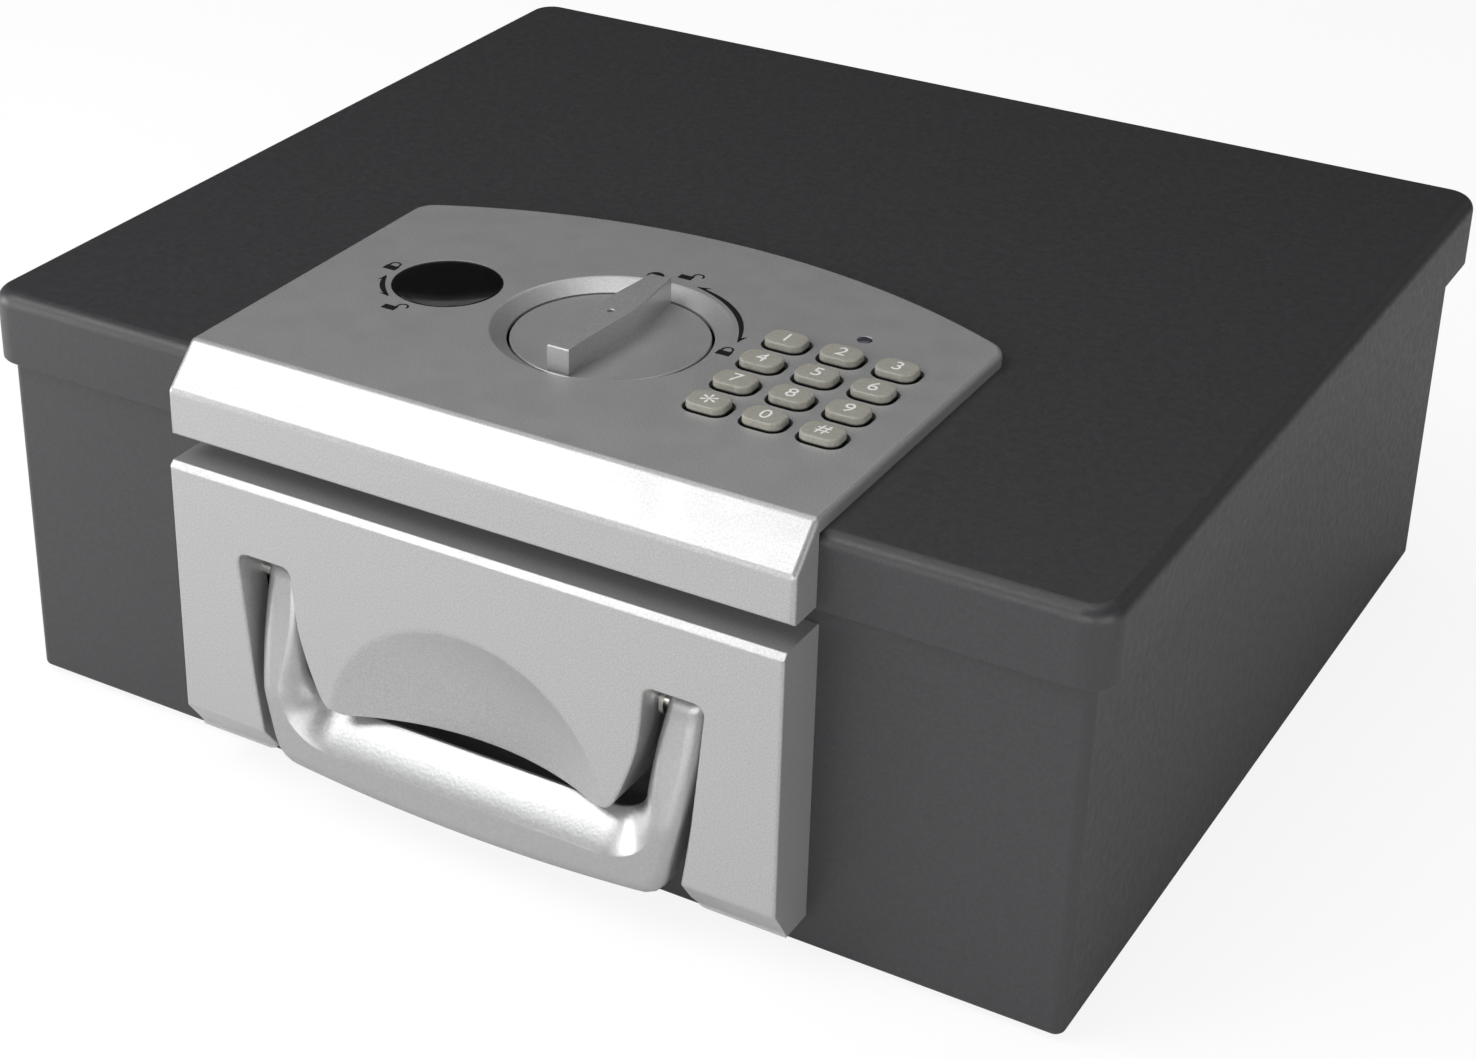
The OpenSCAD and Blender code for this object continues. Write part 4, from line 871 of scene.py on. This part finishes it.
def meet(c1, r1, c2, r2):
    """The point to the right of two centres at those distances from them."""
    way = c2 - c1
    gap = way.length
    u = way / gap
    along = (r1 * r1 - r2 * r2 + gap * gap) / (2 * gap)
    return c1 + u * along + Vector((u.y, -u.x)) * math.sqrt(r1 * r1 - along * along)


bow_c = Vector((0, handle_low.z + BOW_R))
side_c = Vector((ARM_OUT - SIDE_R, SIDE_TOP))
corner_c = meet(side_c, SIDE_R - OUTER_R, bow_c, BOW_R - OUTER_R)
bow_end = math.degrees(math.atan2(*(corner_c - bow_c).yx)) + 360
side_end = math.degrees(math.atan2(*(corner_c - side_c).yx))
outer_line = [(ARM_OUT, handle_high.z + 1)] + arc(*side_c, SIDE_R, 0, side_end, 24)
outer_line += arc(*corner_c, OUTER_R, side_end, bow_end - 360, 16)[1:]
outer_line += arc(*bow_c, BOW_R, bow_end - 360, -90.5, 30)[1:]


def inner_x(z):
    """Inner side of the right arm at a height."""
    return ARM_OUT - ARM_W - (pivot.z - z) * lean


def cast_out(x, z, angle):
    """Where a ray from a point meets the handle's outer line."""
    dx, dz = math.cos(math.radians(angle)), math.sin(math.radians(angle))
    best = None
    for (x0, z0), (x1, z1) in zip(outer_line, outer_line[1:]):
        sx, sz = x1 - x0, z1 - z0
        det = dx * sz - dz * sx
        if abs(det) < 1e-9:
            continue
        far = ((x0 - x) * sz - (z0 - z) * sx) / det
        share = ((x0 - x) * dz - (z0 - z) * dx) / det
        if far > 0 and -0.001 <= share <= 1.001 and (best is None or far < best):
            best = far
    return (x + dx * best, z + dz * best)


def depth_at(z):
    """Middle and half depth of the handle at a height: round at the pivot, leaning to the grip."""
    if z >= pivot.z:
        return pivot.y, math.sqrt(max(ARM_END_R ** 2 - (z - pivot.z) ** 2, 0.3))
    t = min((pivot.z - z) / (pivot.z - GRIP_TOP - 4), 1.0)
    return pivot.y + (mid_grip - pivot.y) * t, ARM_END_R + (GRIP_D / 2 - ARM_END_R) * t


bend_z = GRIP_TOP + INNER_R
bend_c = (inner_x(bend_z) - INNER_R / math.cos(math.radians(ARM_LEAN)), bend_z)
stations = []
for i in range(8):
    z = pivot.z + ARM_END_R * math.sin(math.radians(86 * (1 - i / 8)))
    round_off = 3.5 - math.sqrt(max(3.5 ** 2 - max(z - (pivot.z + ARM_END_R - 3.5), 0) ** 2, 0))
    stations.append(((inner_x(z) + round_off * 0.4, z), (ARM_OUT - round_off, z)))
arm_foot = bend_c[1] - INNER_R * math.sin(math.radians(ARM_LEAN))
for i in range(13):
    t = i / 12
    z = pivot.z + (arm_foot - pivot.z) * t
    x = inner_x(z)
    stations.append(((x, z), cast_out(x, z, -ARM_LEAN * t)))
for i in range(1, 17):
    angle = -ARM_LEAN - (90 - ARM_LEAN) * i / 16
    x, z = arc(*bend_c, INNER_R, angle, angle, 1)[0]
    stations.append(((x, z), cast_out(x, z, angle)))
for i in range(1, 15):
    x = bend_c[0] * (1 - i / 14)
    stations.append(((x, GRIP_TOP), cast_out(x, GRIP_TOP, -90)))


def handle_ring(inside, outside, share):
    """One section of the handle, from an arm's (share 0) to the grip's with its full shoulder (1)."""
    width = math.dist(inside, outside)
    deep = depth_at(inside[1])[1] * 2
    scale = min(deep / GRIP_D, 1.0)
    down, over = 2.6 + 7.2 * share, 2.6 + 7.0 * share
    # Across runs from the inner side to the outer one, deep from the front to the back; the shoulder
    # is flatter in its middle than an ellipse
    flat = 1.0 + 0.75 * share
    corners = [(down, over, 0, 0, 180, flat), (4.5, 3.6, width, 0, 270, 1.0), (4.0, 4.0, width, deep, 0, 1.0),
               (2.4, 2.4, 0, deep, 90, 1.0)]
    ring = []
    for rx, ry, x, y, start, power in corners:
        rx, ry = rx * scale, ry * scale
        cx, cy = x + (rx if x == 0 else -rx), y + (ry if y == 0 else -ry)
        for u, v in arc(0, 0, 1.0, start, start + 90, 10):
            across = cx + math.copysign(abs(u) ** power, u) * rx
            back = cy + math.copysign(abs(v) ** power, v) * ry
            t = across / width
            z = inside[1] + (outside[1] - inside[1]) * t
            middle, half = depth_at(z)
            ring.append((inside[0] + (outside[0] - inside[0]) * t, middle + (back / deep * 2 - 1) * half, z))
    return ring


rings = []
for i, (inside, outside) in enumerate(stations):
    t = min(max((i - 10) / 22, 0.0), 1.0)
    rings.append(handle_ring(inside, outside, t * t * (3 - 2 * t)))
mirrored = [[(-x, y, z) for x, y, z in ring] for ring in rings[-2::-1]]
handle = make("carry_handle_bail", skin(rings + mirrored))

# Painted die casting: the grain is about 0.9 mm across and reads as sparkle in the highlight
cast_paint = surface("silver_paint_on_casting", Metallic=0.72, Roughness=0.36)
grain(cast_paint, 0.9, 3.0, colours=("a9a9a9", "b2b2b3"), depth_mm=0.085, strength=0.5)
grain(cast_paint, 1.6, roughness=(0.3, 0.34))
dress(handle, "carry_handle", cast_paint, ["handle"], angle=50)

# Studio: a white sweep, one soft key light high in front, a broad low fill near the camera, a bank
# overhead for the level faces, and small lamps for the sides and the panel's right edge.
IMAGE_W = 1476
CAMERA_AT = (0.353083, -0.665076, 0.457897)
CAMERA_AZIMUTH, CAMERA_ELEVATION, CAMERA_ROLL = 31.335, 26.6638, 0.2035
FOCAL_PIXELS = 2810.154
# The photograph was cropped off centre: its lens axis lies left of the middle and above it
CROP_PIXELS = 140
SENSOR_MM = 36.0
# The point in the box, in metres, that the lamps face
LAMPS_FACE = Vector((0, 0, 0.06))

scene = bpy.context.scene
scene.view_settings.view_transform = "Standard"
# The camera's axes, from its angles
az, el, roll = (math.radians(v) for v in (CAMERA_AZIMUTH, CAMERA_ELEVATION, CAMERA_ROLL))
forward = Vector((-math.sin(az) * math.cos(el), math.cos(az) * math.cos(el), -math.sin(el)))
level_right = Vector((math.cos(az), math.sin(az), 0))
level_up = level_right.cross(forward)
right = math.cos(roll) * level_right + math.sin(roll) * level_up
upward = math.cos(roll) * level_up - math.sin(roll) * level_right
lens_data = bpy.data.cameras.new("product_camera")
lens_data.sensor_width = SENSOR_MM
lens_data.lens = SENSOR_MM * FOCAL_PIXELS / IMAGE_W
lens_data.shift_x, lens_data.shift_y = CROP_PIXELS / IMAGE_W, -CROP_PIXELS / IMAGE_W
lens_data.clip_start, lens_data.clip_end = 0.05, 50
camera = put("product_camera", lens_data)
pose = Matrix((right, upward, -forward)).transposed().to_4x4()
camera.matrix_world = Matrix.Translation(CAMERA_AT) @ pose
scene.camera = camera


def softbox(name, direction, distance, width, height, radiance):
    """A square lamp that faces the object from a direction."""
    data = bpy.data.lights.new(name, "AREA")
    data.shape, data.size, data.size_y = "RECTANGLE", width, height
    data.energy = radiance * width * height * math.pi
    softbox_obj = put(name, data)
    away = Vector(direction).normalized() * distance
    softbox_obj.location = away + LAMPS_FACE
    softbox_obj.rotation_euler = (-away).to_track_quat("-Z", "Y").to_euler()


softbox("key_light", (-0.46, -0.49, 0.74), 1.5, 0.9, 0.7, 4.75)
softbox("front_fill", (0.1, -0.97, 0.22), 2.2, 2.2, 1.2, 2.7)
softbox("left_fill", (-0.85, -0.5, 0.12), 1.0, 0.6, 0.5, 5.4)
softbox("overhead", (-0.15, 0.25, 0.957), 1.3, 1.0, 1.1, 1.0)
softbox("zenith_light", (0.04, -0.12, 0.99), 1.3, 0.6, 0.6, 1.7)
softbox("rim_light", (0.5, 0.75, 0.4), 1.6, 0.7, 0.5, 0.15)
softbox("right_fill", (0.9, -0.42, 0.12), 1.0, 0.6, 0.5, 2.9)


def seen_directly(tree):
    """1 where the camera sees a surface itself or through something clear, and 0 elsewhere."""
    ray = add(tree, "ShaderNodeLightPath").outputs
    return add(tree, "ShaderNodeMath", {0: ray["Is Camera Ray"], 1: ray["Is Transmission Ray"]},
               operation="MAXIMUM")


world = bpy.data.worlds.new("studio")
scene.world = world
world.use_nodes = True
tree = world.node_tree
tree.nodes.clear()
white = add(tree, "ShaderNodeBackground", {"Color": linear("ffffff")})
ambient = add(tree, "ShaderNodeBackground", {"Color": linear("ffffff"), "Strength": 0.1})
blend = add(tree, "ShaderNodeMixShader", {0: seen_directly(tree), 1: ambient, 2: white})
add(tree, "ShaderNodeOutputWorld", {"Surface": blend})


def backdrop(name, corners, coat, place=(0, 0, 0), turn=0.0):
    """A flat piece of the studio, turned about the vertical."""
    mesh = bpy.data.meshes.new(name)
    mesh.from_pydata(corners, [], [(0, 1, 2, 3)])
    mesh.materials.append(coat)
    flat = put(name, mesh)
    flat.location, flat.rotation_euler = place, (0, 0, math.radians(turn))
    return flat


# A black card behind the left corner keeps level faces, the key cover and the ink deep
flock = surface("black_flock", Base_Color=linear("1a1a1a"), Roughness=1.0)
card_corners = [(-0.95, 0, -0.55), (0.95, 0, -0.55), (0.95, 0, 0.55), (-0.95, 0, 0.55)]
card = backdrop("black_card", card_corners, flock, (-0.62, 1.15, 0.56), 28)
card.visible_camera = False

# Floor: a pale sweep that reads white and keeps the box's soft shadow
sweep = surface("matt_white_sweep", Base_Color=linear("ededed"), Roughness=0.9)
tree, shader, _ = insides(sweep)
glowing = add(tree, "ShaderNodeMath", {0: seen_directly(tree), 1: 0.8}, operation="MULTIPLY")
glow = add(tree, "ShaderNodeEmission", {"Color": linear("ffffff"), "Strength": 1.08})
blend = add(tree, "ShaderNodeMixShader", {0: glowing, 1: shader, 2: glow})
tree.links.new(blend.outputs[0], tree.nodes["Material Output"].inputs["Surface"])
backdrop("studio_floor", [(-6, -6, 0), (6, -6, 0), (6, 6, 0), (-6, 6, 0)], sweep)
